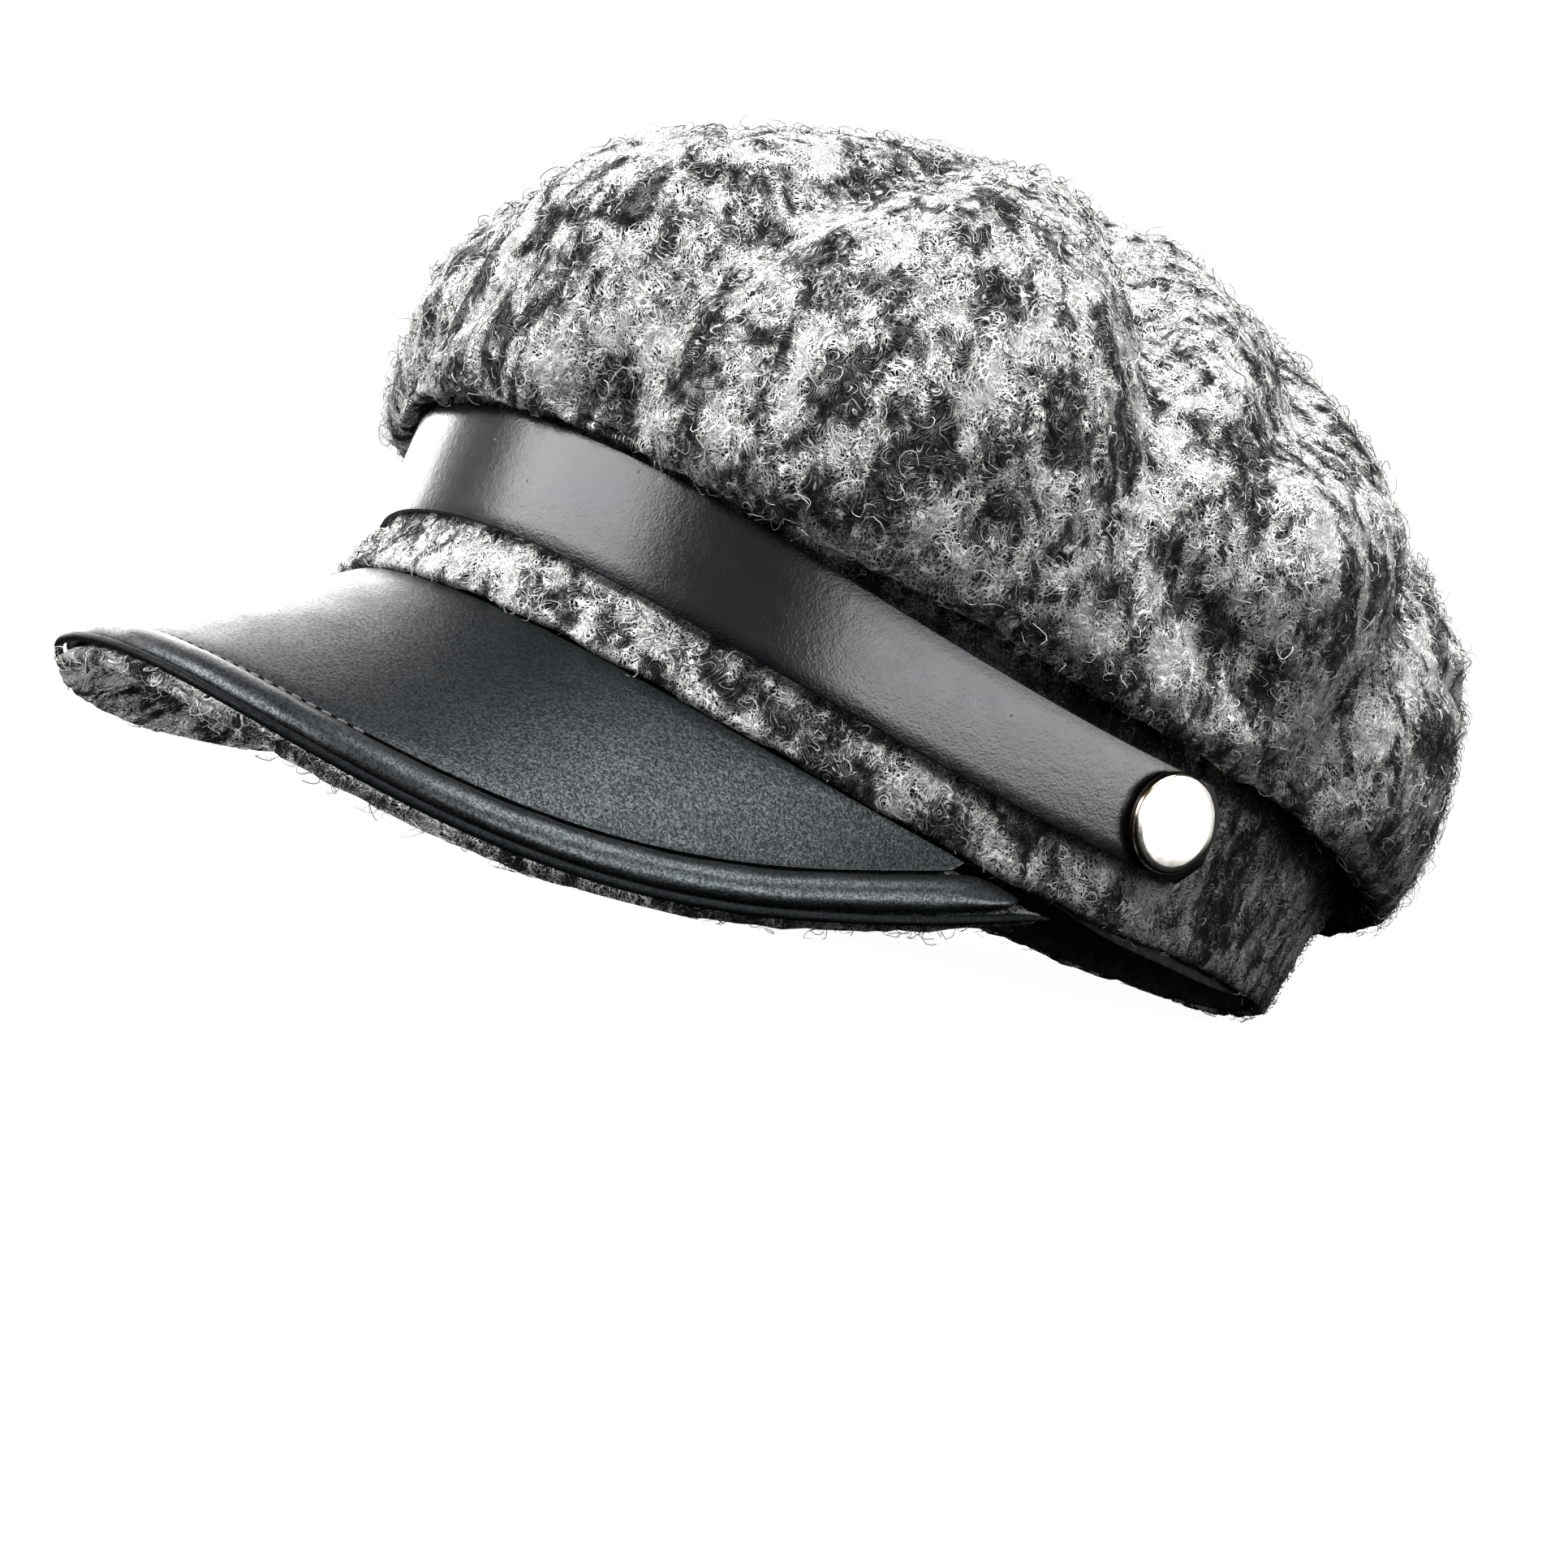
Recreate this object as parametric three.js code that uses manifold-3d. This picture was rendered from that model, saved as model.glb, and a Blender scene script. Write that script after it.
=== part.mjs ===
// A baker boy cap: a full, softly folded crown of boiled wool on a wool band, a leather strap held by two
// metal snap caps, and a leather-covered peak with a rolled binding, a piped edge and a wool underside.
// Millimetres, +Z up, the peak towards -Y and the wearer's left towards +X. The cap lies on z = 0, on the two
// low sides of its peak and the back of its band.
import * as THREE from "three";
import { mergeVertices } from "three/addons/utils/BufferGeometryUtils.js";
import Module from "manifold-3d";

const wasm = await Module();
wasm.setup();

// Pieces that touch keep this gap.
const GAP = 0.3;

// The band: an oval ring for a 57 cm head, measured on its outer face.
const BAND_HALF_WIDTH = 90.7;
const BAND_HALF_LENGTH = 100.9;
const BAND_HEIGHT = 37;
const BAND_WALL = 3;
const RIM_FRONT_ARCH = 16;
const RIM_BACK_DIP = 4.7;
const FRONT_FLARE = 6.3;
const FLARE_HEIGHT = 11.5;
const BACK_TAPER = 9;

// The sweatband inside it.
const SWEATBAND_WALL = 1.2;
const SWEATBAND_TOP = 31;
const SWEATBAND_RISE = 0.8;
const SWEATBAND_SIDE_DROP = 2.4;

// The strap across the front and its snap caps.
const STRAP_BOTTOM = 12.1;
const STRAP_WIDTH = 20.6;
const STRAP_END_WIDTH = 18.4;
const STRAP_WALL = 1.6;
const STRAP_CORNER = 4.6;
const SNAP_ANGLE = 87.8;
const SNAP_HEIGHT = 20.9;
const SNAP_RADIUS = 8.9;
const SNAP_THICKNESS = 2.4;
const SNAP_POST_RADIUS = 2;
const STRAP_PAST_SNAP = 12.2;

// The peak.
const PEAK_HALF_ANGLE = 82;
const PEAK_LENGTH = 57.5;
const PEAK_SQUARENESS = 4.26;
const PEAK_TIP_POWER = 1.3;
const PEAK_DROOP = 31.8;
const PEAK_SIDE_DROOP = 10;
const PEAK_FORWARD_LEAN = 0.86;
const ROOT_INSET = 0.8;
const ROOT_END_DROP = 1.2;
const LEATHER_WALL = 1.6;
const BINDING_WIDTH = 7.4;
const BINDING_BULGE = 1.9;
const PIPING_RADIUS = 1.0;
const UNDERSIDE_WALL = 3;
const UNDERSIDE_PAST_PIPING = 0.3;

// The crown.
const CROWN_WALL = 2.2;
const CROWN_TOP = 128;
const CROWN_LEG = 3.2;
const CROWN_SECTIONS = 72;

// How far cloth is pressed flat where the cap rests.
const REST_FLATTEN = 0.6;

const deg = THREE.MathUtils.degToRad;
const clamp = THREE.MathUtils.clamp;
const smooth = THREE.MathUtils.smoothstep;

// The rim's height at an angle from the front: arched over the peak and a little lower at the back.
function rimHeight(angle) {
  const c = Math.cos(angle);
  return c > 0 ? RIM_FRONT_ARCH * c * c : -RIM_BACK_DIP * c * c;
}

// How far the band's outer face stands out of the oval, at a height above the rim.
function bandOffset(angle, height) {
  const c = Math.cos(angle);
  const peakShare = Math.max(0, Math.cos(angle * (90 / PEAK_HALF_ANGLE)));
  const low = 1 - smooth(height, 0, FLARE_HEIGHT);
  const flare = c > 0 ? FRONT_FLARE * peakShare * low : 0;
  const taper = c < 0 ? BACK_TAPER * c * (1 - clamp(height / BAND_HEIGHT, 0, 1)) : 0;
  return flare + taper;
}

// A point on the oval, pushed out by an offset, at a height.
function ovalPoint(angle, offset, z) {
  return new THREE.Vector3(
    (BAND_HALF_WIDTH + offset) * Math.sin(angle),
    -(BAND_HALF_LENGTH + offset) * Math.cos(angle),
    z,
  );
}

// A point on the band, depth below its outer face.
function bandPoint(angle, height, depth) {
  return ovalPoint(angle, bandOffset(angle, height) - depth, rimHeight(angle) + height);
}

// The oval's outward direction.
function ovalNormal(angle) {
  return new THREE.Vector3(
    Math.sin(angle) / BAND_HALF_WIDTH,
    -Math.cos(angle) / BAND_HALF_LENGTH,
    0,
  ).normalize();
}

// Fills in a table with a row every so many degrees round the cap, smoothly and closing on itself.
function roundTable(rows, column) {
  const curve = new THREE.CatmullRomCurve3(
    rows.map((row) => new THREE.Vector3(row[column], 0, 0)),
    true,
  );
  return (angle) => {
    const turn = (((angle / (2 * Math.PI)) % 1) + 1) % 1;
    return curve.getPoint(turn).x;
  };
}

// A geometry from a list of points and triangles.
function geometryOf(points, triangles) {
  const geometry = new THREE.BufferGeometry().setFromPoints(points);
  geometry.setIndex(triangles);
  geometry.computeVertexNormals();
  return geometry;
}

// A closed solid through sections, each a loop of points. A ring joins its last section to its first, and
// any other solid is capped at both ends.
function loft(sections, isRing) {
  const count = sections[0].length;
  const points = sections.flat();
  const triangles = [];
  const spans = isRing ? sections.length : sections.length - 1;
  for (let i = 0; i < spans; i++) {
    const here = i * count;
    const next = ((i + 1) % sections.length) * count;
    for (let j = 0; j < count; j++) {
      const k = (j + 1) % count;
      triangles.push(here + j, next + j, next + k, here + j, next + k, here + k);
    }
  }
  if (!isRing) {
    const last = (sections.length - 1) * count;
    for (let j = 0; j < count / 2 - 1; j++) {
      const a = j;
      const b = j + 1;
      const c = count - 2 - j;
      const d = count - 1 - j;
      triangles.push(a, b, c, a, c, d);
      triangles.push(last + a, last + c, last + b, last + a, last + d, last + c);
    }
  }
  return geometryOf(points, triangles);
}

// A domed shell between an outer and an inner net of rows. Each net's last row is one point, the pole, and
// their first rows meet in the shell's edge.
function domeShell(outer, inner) {
  const around = outer.rows[0].length;
  const points = [...outer.rows.flat(), outer.pole, ...inner.rows.flat(), inner.pole];
  const triangles = [];
  const outerPole = outer.rows.length * around;
  const innerStart = outerPole + 1;
  const innerPole = innerStart + inner.rows.length * around;
  const skin = (start, rowCount, pole, flip) => {
    const add = (a, b, c) => triangles.push(...(flip ? [a, c, b] : [a, b, c]));
    for (let j = 0; j < around; j++) {
      const k = (j + 1) % around;
      for (let i = 0; i < rowCount - 1; i++) {
        const low = start + i * around;
        const high = low + around;
        add(low + j, low + k, high + k);
        add(low + j, high + k, high + j);
      }
      const top = start + (rowCount - 1) * around;
      add(top + j, top + k, pole);
    }
  };
  skin(0, outer.rows.length, outerPole, false);
  skin(innerStart, inner.rows.length, innerPole, true);
  for (let j = 0; j < around; j++) {
    const k = (j + 1) % around;
    triangles.push(j, innerStart + k, k, j, innerStart + j, innerStart + k);
  }
  return geometryOf(points, triangles);
}

// A geometry as a manifold-3d solid, and back.
function solidOf(geometry) {
  const bare = geometry.clone();
  bare.deleteAttribute("normal");
  bare.deleteAttribute("uv");
  const merged = mergeVertices(bare, 1e-4);
  return new wasm.Manifold(
    new wasm.Mesh({
      numProp: 3,
      vertProperties: merged.attributes.position.array,
      triVerts: new Uint32Array(merged.index.array),
    }),
  );
}

function geometryOfSolid(solid) {
  const mesh = solid.getMesh();
  const geometry = new THREE.BufferGeometry();
  geometry.setAttribute("position", new THREE.BufferAttribute(mesh.vertProperties, 3));
  geometry.setIndex(new THREE.BufferAttribute(mesh.triVerts, 1));
  geometry.computeVertexNormals();
  return geometry;
}

// The angles of a ring's sections.
function ringAngles(count) {
  return Array.from({ length: count }, (_, i) => (2 * Math.PI * i) / count);
}

// The crown's outline, a row for each 30 degrees from the front: how far it stands out past the band, how far
// its lower fold hangs below the band's top, how far above that fold it is widest, and its shoulder's height
// and share of the way out.
const CROWN_ROWS = [
  { out: 8, hang: 3.4, rise: 9, shoulder: 103, reach: 0.8 },
  { out: 9, hang: 3, rise: 10, shoulder: 106, reach: 0.82 },
  { out: 9.5, hang: 0.8, rise: 14, shoulder: 104, reach: 0.8 },
  { out: 9.5, hang: 3.6, rise: 18, shoulder: 99, reach: 0.78 },
  { out: 10, hang: 9.5, rise: 20, shoulder: 95, reach: 0.79 },
  { out: 10.5, hang: 13, rise: 22, shoulder: 91, reach: 0.81 },
  { out: 10.5, hang: 14, rise: 23, shoulder: 90, reach: 0.82 },
  { out: 10.5, hang: 12, rise: 22, shoulder: 91, reach: 0.81 },
  { out: 10.5, hang: 8.5, rise: 20, shoulder: 95, reach: 0.79 },
  { out: 10, hang: 4, rise: 17, shoulder: 99, reach: 0.78 },
  { out: 9.5, hang: 1.5, rise: 14, shoulder: 101, reach: 0.79 },
  { out: 9, hang: 3, rise: 11, shoulder: 102, reach: 0.8 },
];
const crownOut = roundTable(CROWN_ROWS, "out");
const crownHang = roundTable(CROWN_ROWS, "hang");
const crownRise = roundTable(CROWN_ROWS, "rise");
const crownShoulder = roundTable(CROWN_ROWS, "shoulder");
const crownReach = roundTable(CROWN_ROWS, "reach");

// The crown's folds and, with a depth below zero, its puffs: from one place to another, each an angle from the
// front and a height, which is 0 at the lower fold, a third where the crown is widest, two thirds at the
// shoulder and 1 at the top.
const FOLDS = [
  { from: [19, 0.1], to: [24, 0.5], depth: 5.5, width: 10 },
  { from: [24, 0.5], to: [35, 0.76], depth: 7.5, width: 10 },
  { from: [74, 0.44], to: [71, 0.8], depth: 9, width: 10 },
  { from: [78, 0.54], to: [122, 0.84], depth: 6, width: 10 },
  { from: [76, 0.42], to: [88, 0.28], depth: 6.5, width: 10 },
  { from: [97, 0.05], to: [106, 0.4], depth: 7, width: 10 },
  { from: [106, 0.4], to: [138, 0.74], depth: 7.5, width: 11 },
  { from: [178, 0.12], to: [172, 0.8], depth: 6.5, width: 11 },
  { from: [218, 0.1], to: [226, 0.75], depth: 7.5, width: 12 },
  { from: [256, 0.1], to: [244, 0.45], depth: 6.5, width: 11 },
  { from: [290, 0.15], to: [296, 0.8], depth: 8, width: 12 },
  { from: [288, 0.5], to: [266, 0.64], depth: 5, width: 11 },
  { from: [336, 0.1], to: [343, 0.46], depth: 6.5, width: 11 },
  { from: [343, 0.46], to: [332, 0.78], depth: 8, width: 12 },
  { from: [357, 0.6], to: [10, 0.64], depth: -4, width: 17 },
  { from: [44, 0.68], to: [40, 0.84], depth: -2.5, width: 17 },
  { from: [46, 0.2], to: [52, 0.55], depth: -5, width: 22 },
  { from: [90, 0.52], to: [90, 0.2], depth: -3.5, width: 13 },
  { from: [124, 0.15], to: [128, 0.4], depth: -1.5, width: 16 },
  { from: [274, 0.25], to: [276, 0.42], depth: -3.5, width: 18 },
  { from: [312, 0.2], to: [310, 0.55], depth: -3.5, width: 22 },
];

// The crown's smooth profile at an angle: up from the band's top edge, over, down outside the band to the
// lower fold, and from there out and up to the top.
function crownProfile(angle) {
  const seam = rimHeight(angle) + BAND_HEIGHT + GAP;
  const pole = new THREE.Vector3(0, 0, CROWN_TOP);
  const out = crownOut(angle);
  const fold = seam - crownHang(angle);
  const wide = fold + crownRise(angle);
  const shoulder = crownShoulder(angle);
  const reach = crownReach(angle);
  const spare = out - CROWN_LEG;
  const at = (offset, z) => ovalPoint(angle, offset, z);
  const inwards = (share, z) => {
    const p = pole.clone().lerp(at(out, z), share);
    p.z = z;
    return p;
  };
  return new THREE.CatmullRomCurve3(
    [
      at(-BAND_WALL / 2, seam),
      at(-BAND_WALL / 2 + 0.2, seam + 2.2),
      at(CROWN_LEG / 2 - 0.8, seam + 4.6),
      at(CROWN_LEG - 0.1, seam + 2.8),
      at(CROWN_LEG, fold + 2.2),
      at(CROWN_LEG + 0.35 * spare, fold),
      at(CROWN_LEG + 0.75 * spare, fold + 3.2),
      at(out, wide),
      inwards(0.96, (wide + shoulder) / 2 + 3),
      inwards(reach, shoulder),
      inwards(reach * 0.5, CROWN_TOP - 5),
      pole,
    ],
    false,
    "centripetal",
  );
}

// The profile's parameter at a height as the folds count it, below zero inside the lower fold.
const PROFILE_SPANS = 11;
const TUCK_SPANS = 5;
const alongAt = (up) => (TUCK_SPANS + up * (PROFILE_SPANS - TUCK_SPANS)) / PROFILE_SPANS;

// The heights of the net's rows: close together in the tuck, wider apart over the dome.
const TUCK_ROWS = [-5, -4, -3, -2.5, -2, -1, -0.5].map((span) => span / (PROFILE_SPANS - TUCK_SPANS));
const OUTER_DOME = [0, 2, 4, 8, 12, 16, 20, 24, 28, 32, 36, 40, 44, 48, 53].map((n) => n / 60);
const INNER_DOME = [0, 2, 4, 12, 20, 28, 36, 44, 53].map((n) => n / 60);
const OUTER_ROWS = [...TUCK_ROWS, ...OUTER_DOME];
const INNER_ROWS = [...TUCK_ROWS, ...INNER_DOME];

// Each fold as a line of points over the smooth crown.
const foldLines = FOLDS.map((fold) => {
  const points = [];
  for (let i = 0; i <= 8; i++) {
    const share = i / 8;
    const angle = deg(THREE.MathUtils.lerp(fold.from[0], turnedNear(fold.to[0], fold.from[0]), share));
    const up = THREE.MathUtils.lerp(fold.from[1], fold.to[1], share);
    points.push(crownProfile(angle).getPoint(alongAt(up)));
  }
  return { ...fold, points };
});

// An angle in degrees, turned to lie within half a turn of another.
function turnedNear(angle, other) {
  return angle - 360 * Math.round((angle - other) / 360);
}

// How far the cloth sinks at a place on the smooth crown. Where folds meet, the deeper one counts.
function sink(place, up) {
  const segment = new THREE.Line3();
  const nearest = new THREE.Vector3();
  let folded = 0;
  let puffed = 0;
  for (const line of foldLines) {
    let apart = Infinity;
    for (let i = 0; i < line.points.length - 1; i++) {
      segment.set(line.points[i], line.points[i + 1]).closestPointToPoint(place, true, nearest);
      apart = Math.min(apart, nearest.distanceTo(place));
    }
    const depth = line.depth * Math.exp(-((apart / line.width) ** 2));
    if (depth > 0) folded += depth ** 4;
    else puffed += depth;
  }
  return (folded ** 0.25 + puffed) * smooth(up, -0.02, 0.12);
}

// The crown's net of rows at a depth below its middle.
function crownNet(heights, depth) {
  const angles = ringAngles(CROWN_SECTIONS);
  const step = 1e-3;
  const beside = angles.map((angle) => crownProfile(angle + step));
  const profiles = angles.map(crownProfile);
  const rows = heights.map((up) =>
    profiles.map((profile, j) => {
      const along = alongAt(up);
      const place = profile.getPoint(along);
      const rising = profile.getPoint(along + step).sub(place);
      const normal = beside[j].getPoint(along).sub(place).cross(rising).normalize();
      if (up <= TUCK_ROWS[0]) normal.copy(ovalNormal(angles[j]));
      return place.clone().addScaledVector(normal, -depth - sink(place, up));
    }),
  );
  const top = crownProfile(0).getPoint(1);
  const pole = new THREE.Vector3(0, 0, CROWN_TOP - depth - sink(top, 1));
  return { rows, pole };
}

function crownGeometry() {
  return domeShell(crownNet(OUTER_ROWS, -CROWN_WALL / 2), crownNet(INNER_ROWS, CROWN_WALL / 2));
}

// The band: a ring whose section follows its outer and inner faces.
function bandGeometry() {
  const heights = [0, FLARE_HEIGHT * 0.4, FLARE_HEIGHT, BAND_HEIGHT];
  const sections = ringAngles(CROWN_SECTIONS).map((angle) => [
    ...heights.map((h) => bandPoint(angle, h, 0)),
    ...heights.toReversed().map((h) => bandPoint(angle, h, BAND_WALL)),
  ]);
  return loft(sections, true);
}

function sweatbandGeometry() {
  const outside = BAND_WALL + GAP;
  const sections = ringAngles(CROWN_SECTIONS).map((angle) => {
    const side = Math.abs(THREE.MathUtils.radToDeg(Math.atan2(Math.sin(angle), Math.cos(angle))));
    const drop = smooth(side, PEAK_HALF_ANGLE - 4, PEAK_HALF_ANGLE + 8) * (1 - smooth(side, 104, 130));
    const low = SWEATBAND_RISE - SWEATBAND_SIDE_DROP * drop;
    const heights = [low, FLARE_HEIGHT * 0.4, FLARE_HEIGHT, SWEATBAND_TOP];
    return [
      ...heights.map((h) => bandPoint(angle, h, outside)),
      ...heights.toReversed().map((h) => bandPoint(angle, h, outside + SWEATBAND_WALL)),
    ];
  });
  return loft(sections, true);
}

// The strap follows the band from one clipped end to the other.
function strapGeometry() {
  const perDegree = (Math.PI / 180) * BAND_HALF_LENGTH;
  const endAngle = SNAP_ANGLE + STRAP_PAST_SNAP / perDegree;
  const cornerAngle = STRAP_CORNER / perDegree;
  const steps = 48;
  const stops = [];
  for (let i = 0; i <= steps; i++) {
    const share = (2 * i) / steps - 1;
    stops.push(share * (endAngle - cornerAngle));
  }
  stops.unshift(-endAngle);
  stops.push(endAngle);
  const sections = stops.map((stop) => {
    const angle = deg(stop);
    const narrowing = smooth(Math.abs(stop), 20, SNAP_ANGLE);
    const atEnd = Math.abs(stop) >= endAngle ? 2 * STRAP_CORNER : 0;
    const width = THREE.MathUtils.lerp(STRAP_WIDTH, STRAP_END_WIDTH, narrowing) - atEnd;
    const middle = THREE.MathUtils.lerp(STRAP_BOTTOM + STRAP_WIDTH / 2, SNAP_HEIGHT, narrowing);
    const low = middle - width / 2;
    const high = middle + width / 2;
    return [
      bandPoint(angle, low, -GAP - STRAP_WALL),
      bandPoint(angle, high, -GAP - STRAP_WALL),
      bandPoint(angle, high, -GAP),
      bandPoint(angle, low, -GAP),
    ];
  });
  return loft(sections, false);
}

// A snap's place: its outward direction and the point where its cap meets the strap.
function snapPlace(side) {
  const angle = deg(side * SNAP_ANGLE);
  const outward = ovalNormal(angle);
  const seat = bandPoint(angle, SNAP_HEIGHT, 0).addScaledVector(outward, GAP + STRAP_WALL + GAP);
  return { outward, seat };
}

// A snap cap with its post, turned about its own axis, +Y outwards from the seat.
function snapGeometry() {
  const postEnd = -(GAP + STRAP_WALL + GAP + BAND_WALL - GAP);
  const rim = 0.8;
  const profile = [
    [0, postEnd],
    [SNAP_POST_RADIUS, postEnd],
    [SNAP_POST_RADIUS, 0],
    [SNAP_RADIUS - rim, 0],
    [SNAP_RADIUS, rim],
    [SNAP_RADIUS, SNAP_THICKNESS - rim],
    [SNAP_RADIUS - 0.3 * rim, SNAP_THICKNESS - 0.3 * rim],
    [SNAP_RADIUS - rim, SNAP_THICKNESS],
    [0, SNAP_THICKNESS + 0.25],
  ].map(([r, y]) => new THREE.Vector2(r, y));
  return new THREE.LatheGeometry(profile, 24);
}

// The hole that a snap's post needs in the strap and the band.
function snapHole(side) {
  const { outward, seat } = snapPlace(side);
  const hole = new THREE.CylinderGeometry(
    SNAP_POST_RADIUS + GAP,
    SNAP_POST_RADIUS + GAP,
    4 * (BAND_WALL + STRAP_WALL),
    16,
  );
  hole.applyQuaternion(
    new THREE.Quaternion().setFromUnitVectors(new THREE.Vector3(0, 1, 0), outward),
  );
  hole.translate(seat.x, seat.y, seat.z);
  return solidOf(hole);
}

function drilled(geometry) {
  return geometryOfSolid(solidOf(geometry).subtract(snapHole(-1)).subtract(snapHole(1)));
}

// The peak's width in front of the band at a share of the way round, from -1 to 1.
function peakWidth(share) {
  const side = Math.pow(Math.min(1, Math.abs(share)), PEAK_SQUARENESS);
  return PEAK_LENGTH * Math.pow(1 - side, PEAK_TIP_POWER);
}

// The line where the peak leaves the band, a little lower at its two ends, where its edging passes under.
function peakRoot(share) {
  const angle = deg(PEAK_HALF_ANGLE * share);
  const drop = GAP + ROOT_END_DROP * smooth(Math.abs(share), 0.8, 0.97);
  return ovalPoint(angle, bandOffset(angle, 0) - ROOT_INSET, rimHeight(angle) - drop);
}

// The downward direction in which the peak runs out from its root.
function peakDirection(share) {
  const angle = deg(PEAK_HALF_ANGLE * share);
  const s = Math.sin(angle);
  const droop = deg(PEAK_DROOP + PEAK_SIDE_DROOP * s * s);
  return ovalNormal(angle)
    .lerp(new THREE.Vector3(0, -1, 0), PEAK_FORWARD_LEAN)
    .normalize()
    .multiplyScalar(Math.cos(droop))
    .add(new THREE.Vector3(0, 0, -Math.sin(droop)));
}

// The peak's frame at a share of the way round: its root, its run, its upward normal, the direction square to
// its edge, its width, how many millimetres along the run make one millimetre square to that edge, and the
// piping's radius, which tapers at the peak's two ends.
function peakFrame(share) {
  const root = peakRoot(share);
  const run = peakDirection(share);
  const width = peakWidth(share);
  const step = 1e-3;
  const near = clamp(share, -0.985, 0.985);
  const pointAt = (s, w) => peakRoot(s).addScaledVector(peakDirection(s), w);
  const across = pointAt(near + step, width).sub(pointAt(near - step, width));
  const normal = run.clone().cross(across).normalize();
  const along = pointAt(near + step, peakWidth(near + step))
    .sub(pointAt(near - step, peakWidth(near - step)))
    .normalize();
  const side = along.clone().cross(normal).normalize();
  const slant = 1 / along.clone().cross(run).length();
  const piping = Math.min(PIPING_RADIUS, (0.42 * width) / slant);
  return { root, run, normal, side, width, slant, piping };
}

// A point of the peak, so far along its run and so far above its surface.
function peakPoint(frame, distance, height) {
  return frame.root
    .clone()
    .addScaledVector(frame.run, distance)
    .addScaledVector(frame.normal, height);
}

// A piece of the peak: a loft along it, through sections given by a function of the frame.
function peakLoft(limit, steps, sectionOf) {
  const sections = [];
  for (let i = 0; i <= steps; i++) {
    const turn = Math.sin(((i / steps) * 2 - 1) * (Math.PI / 2));
    const share = limit * THREE.MathUtils.lerp((i / steps) * 2 - 1, turn, 0.5);
    sections.push(sectionOf(peakFrame(share)));
  }
  return loft(sections, false);
}

// Where the binding starts and ends along the run.
function bindingSpan(frame) {
  const outer = frame.width - (2 * frame.piping + GAP) * frame.slant;
  const inner = Math.max(0.2, outer - BINDING_WIDTH * frame.slant);
  return { inner, outer };
}

function peakTopGeometry() {
  return peakLoft(0.84, 36, (frame) => {
    const end = Math.max(0.5, bindingSpan(frame).inner - GAP * frame.slant);
    const stops = [0, 0.33, 0.67, 1].map((s) => s * end);
    return [
      ...stops.map((d) => peakPoint(frame, d, -LEATHER_WALL)),
      ...stops.toReversed().map((d) => peakPoint(frame, d, 0)),
    ];
  });
}

function peakBindingGeometry() {
  return peakLoft(0.93, 44, (frame) => {
    const { inner, outer } = bindingSpan(frame);
    const at = (share, height) => peakPoint(frame, THREE.MathUtils.lerp(inner, outer, share), height);
    return [
      at(0, -LEATHER_WALL),
      at(0.5, -LEATHER_WALL),
      at(1, -LEATHER_WALL),
      at(1, 0.1),
      at(0.82, BINDING_BULGE * 0.75),
      at(0.5, BINDING_BULGE),
      at(0.2, BINDING_BULGE * 0.6),
      at(0, -0.4),
    ];
  });
}

function peakPipingGeometry() {
  const sides = 6;
  return peakLoft(0.98, 46, (frame) => {
    const radius = frame.piping;
    const centre = peakPoint(frame, frame.width - radius * frame.slant, -0.2);
    return Array.from({ length: sides }, (_, i) => {
      const turn = (2 * Math.PI * (i + 0.5)) / sides;
      return centre
        .clone()
        .addScaledVector(frame.side, radius * Math.cos(turn))
        .addScaledVector(frame.normal, radius * Math.sin(turn));
    });
  });
}

function peakUndersideGeometry() {
  const top = -(LEATHER_WALL + GAP + 0.2);
  return peakLoft(0.98, 44, (frame) => {
    const end = Math.max(1, frame.width + UNDERSIDE_PAST_PIPING * frame.slant);
    const round = Math.min(1.5 * frame.slant, end * 0.3);
    const stops = [0, 0.5 * (end - round), end - round];
    return [
      ...stops.map((d) => peakPoint(frame, d, top - UNDERSIDE_WALL)),
      peakPoint(frame, end, top - UNDERSIDE_WALL * 0.65),
      peakPoint(frame, end, top - UNDERSIDE_WALL * 0.25),
      ...stops.toReversed().map((d) => peakPoint(frame, d, top)),
    ];
  });
}

const WOOL = { color: 0x5b5d60, roughness: 0.95, metalness: 0 };
const PEAK_LEATHER = { color: 0x15181a, roughness: 0.5, metalness: 0 };
const STRAP_LEATHER = { color: 0x1c1c20, roughness: 0.38, metalness: 0 };
const LINING = { color: 0x0c0c0e, roughness: 0.85, metalness: 0 };
const NICKEL = { color: 0xd9d6ce, roughness: 0.2, metalness: 1 };

function meshOf(name, geometry, finish) {
  const mesh = new THREE.Mesh(geometry, new THREE.MeshStandardMaterial(finish));
  mesh.name = name;
  return mesh;
}

const worn = new THREE.Group();
worn.add(
  meshOf("crown", crownGeometry(), WOOL),
  meshOf("band", drilled(bandGeometry()), WOOL),
  meshOf("sweatband", sweatbandGeometry(), LINING),
  meshOf("strap", drilled(strapGeometry()), STRAP_LEATHER),
  meshOf("peak_top", peakTopGeometry(), PEAK_LEATHER),
  meshOf("peak_binding", peakBindingGeometry(), PEAK_LEATHER),
  meshOf("peak_piping", peakPipingGeometry(), PEAK_LEATHER),
  meshOf("peak_underside", peakUndersideGeometry(), WOOL),
);
for (const side of [1, -1]) {
  const { outward, seat } = snapPlace(side);
  const snap = meshOf(side > 0 ? "snap_left" : "snap_right", snapGeometry(), NICKEL);
  snap.quaternion.setFromUnitVectors(new THREE.Vector3(0, 1, 0), outward);
  snap.position.copy(seat);
  worn.add(snap);
}

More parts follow.
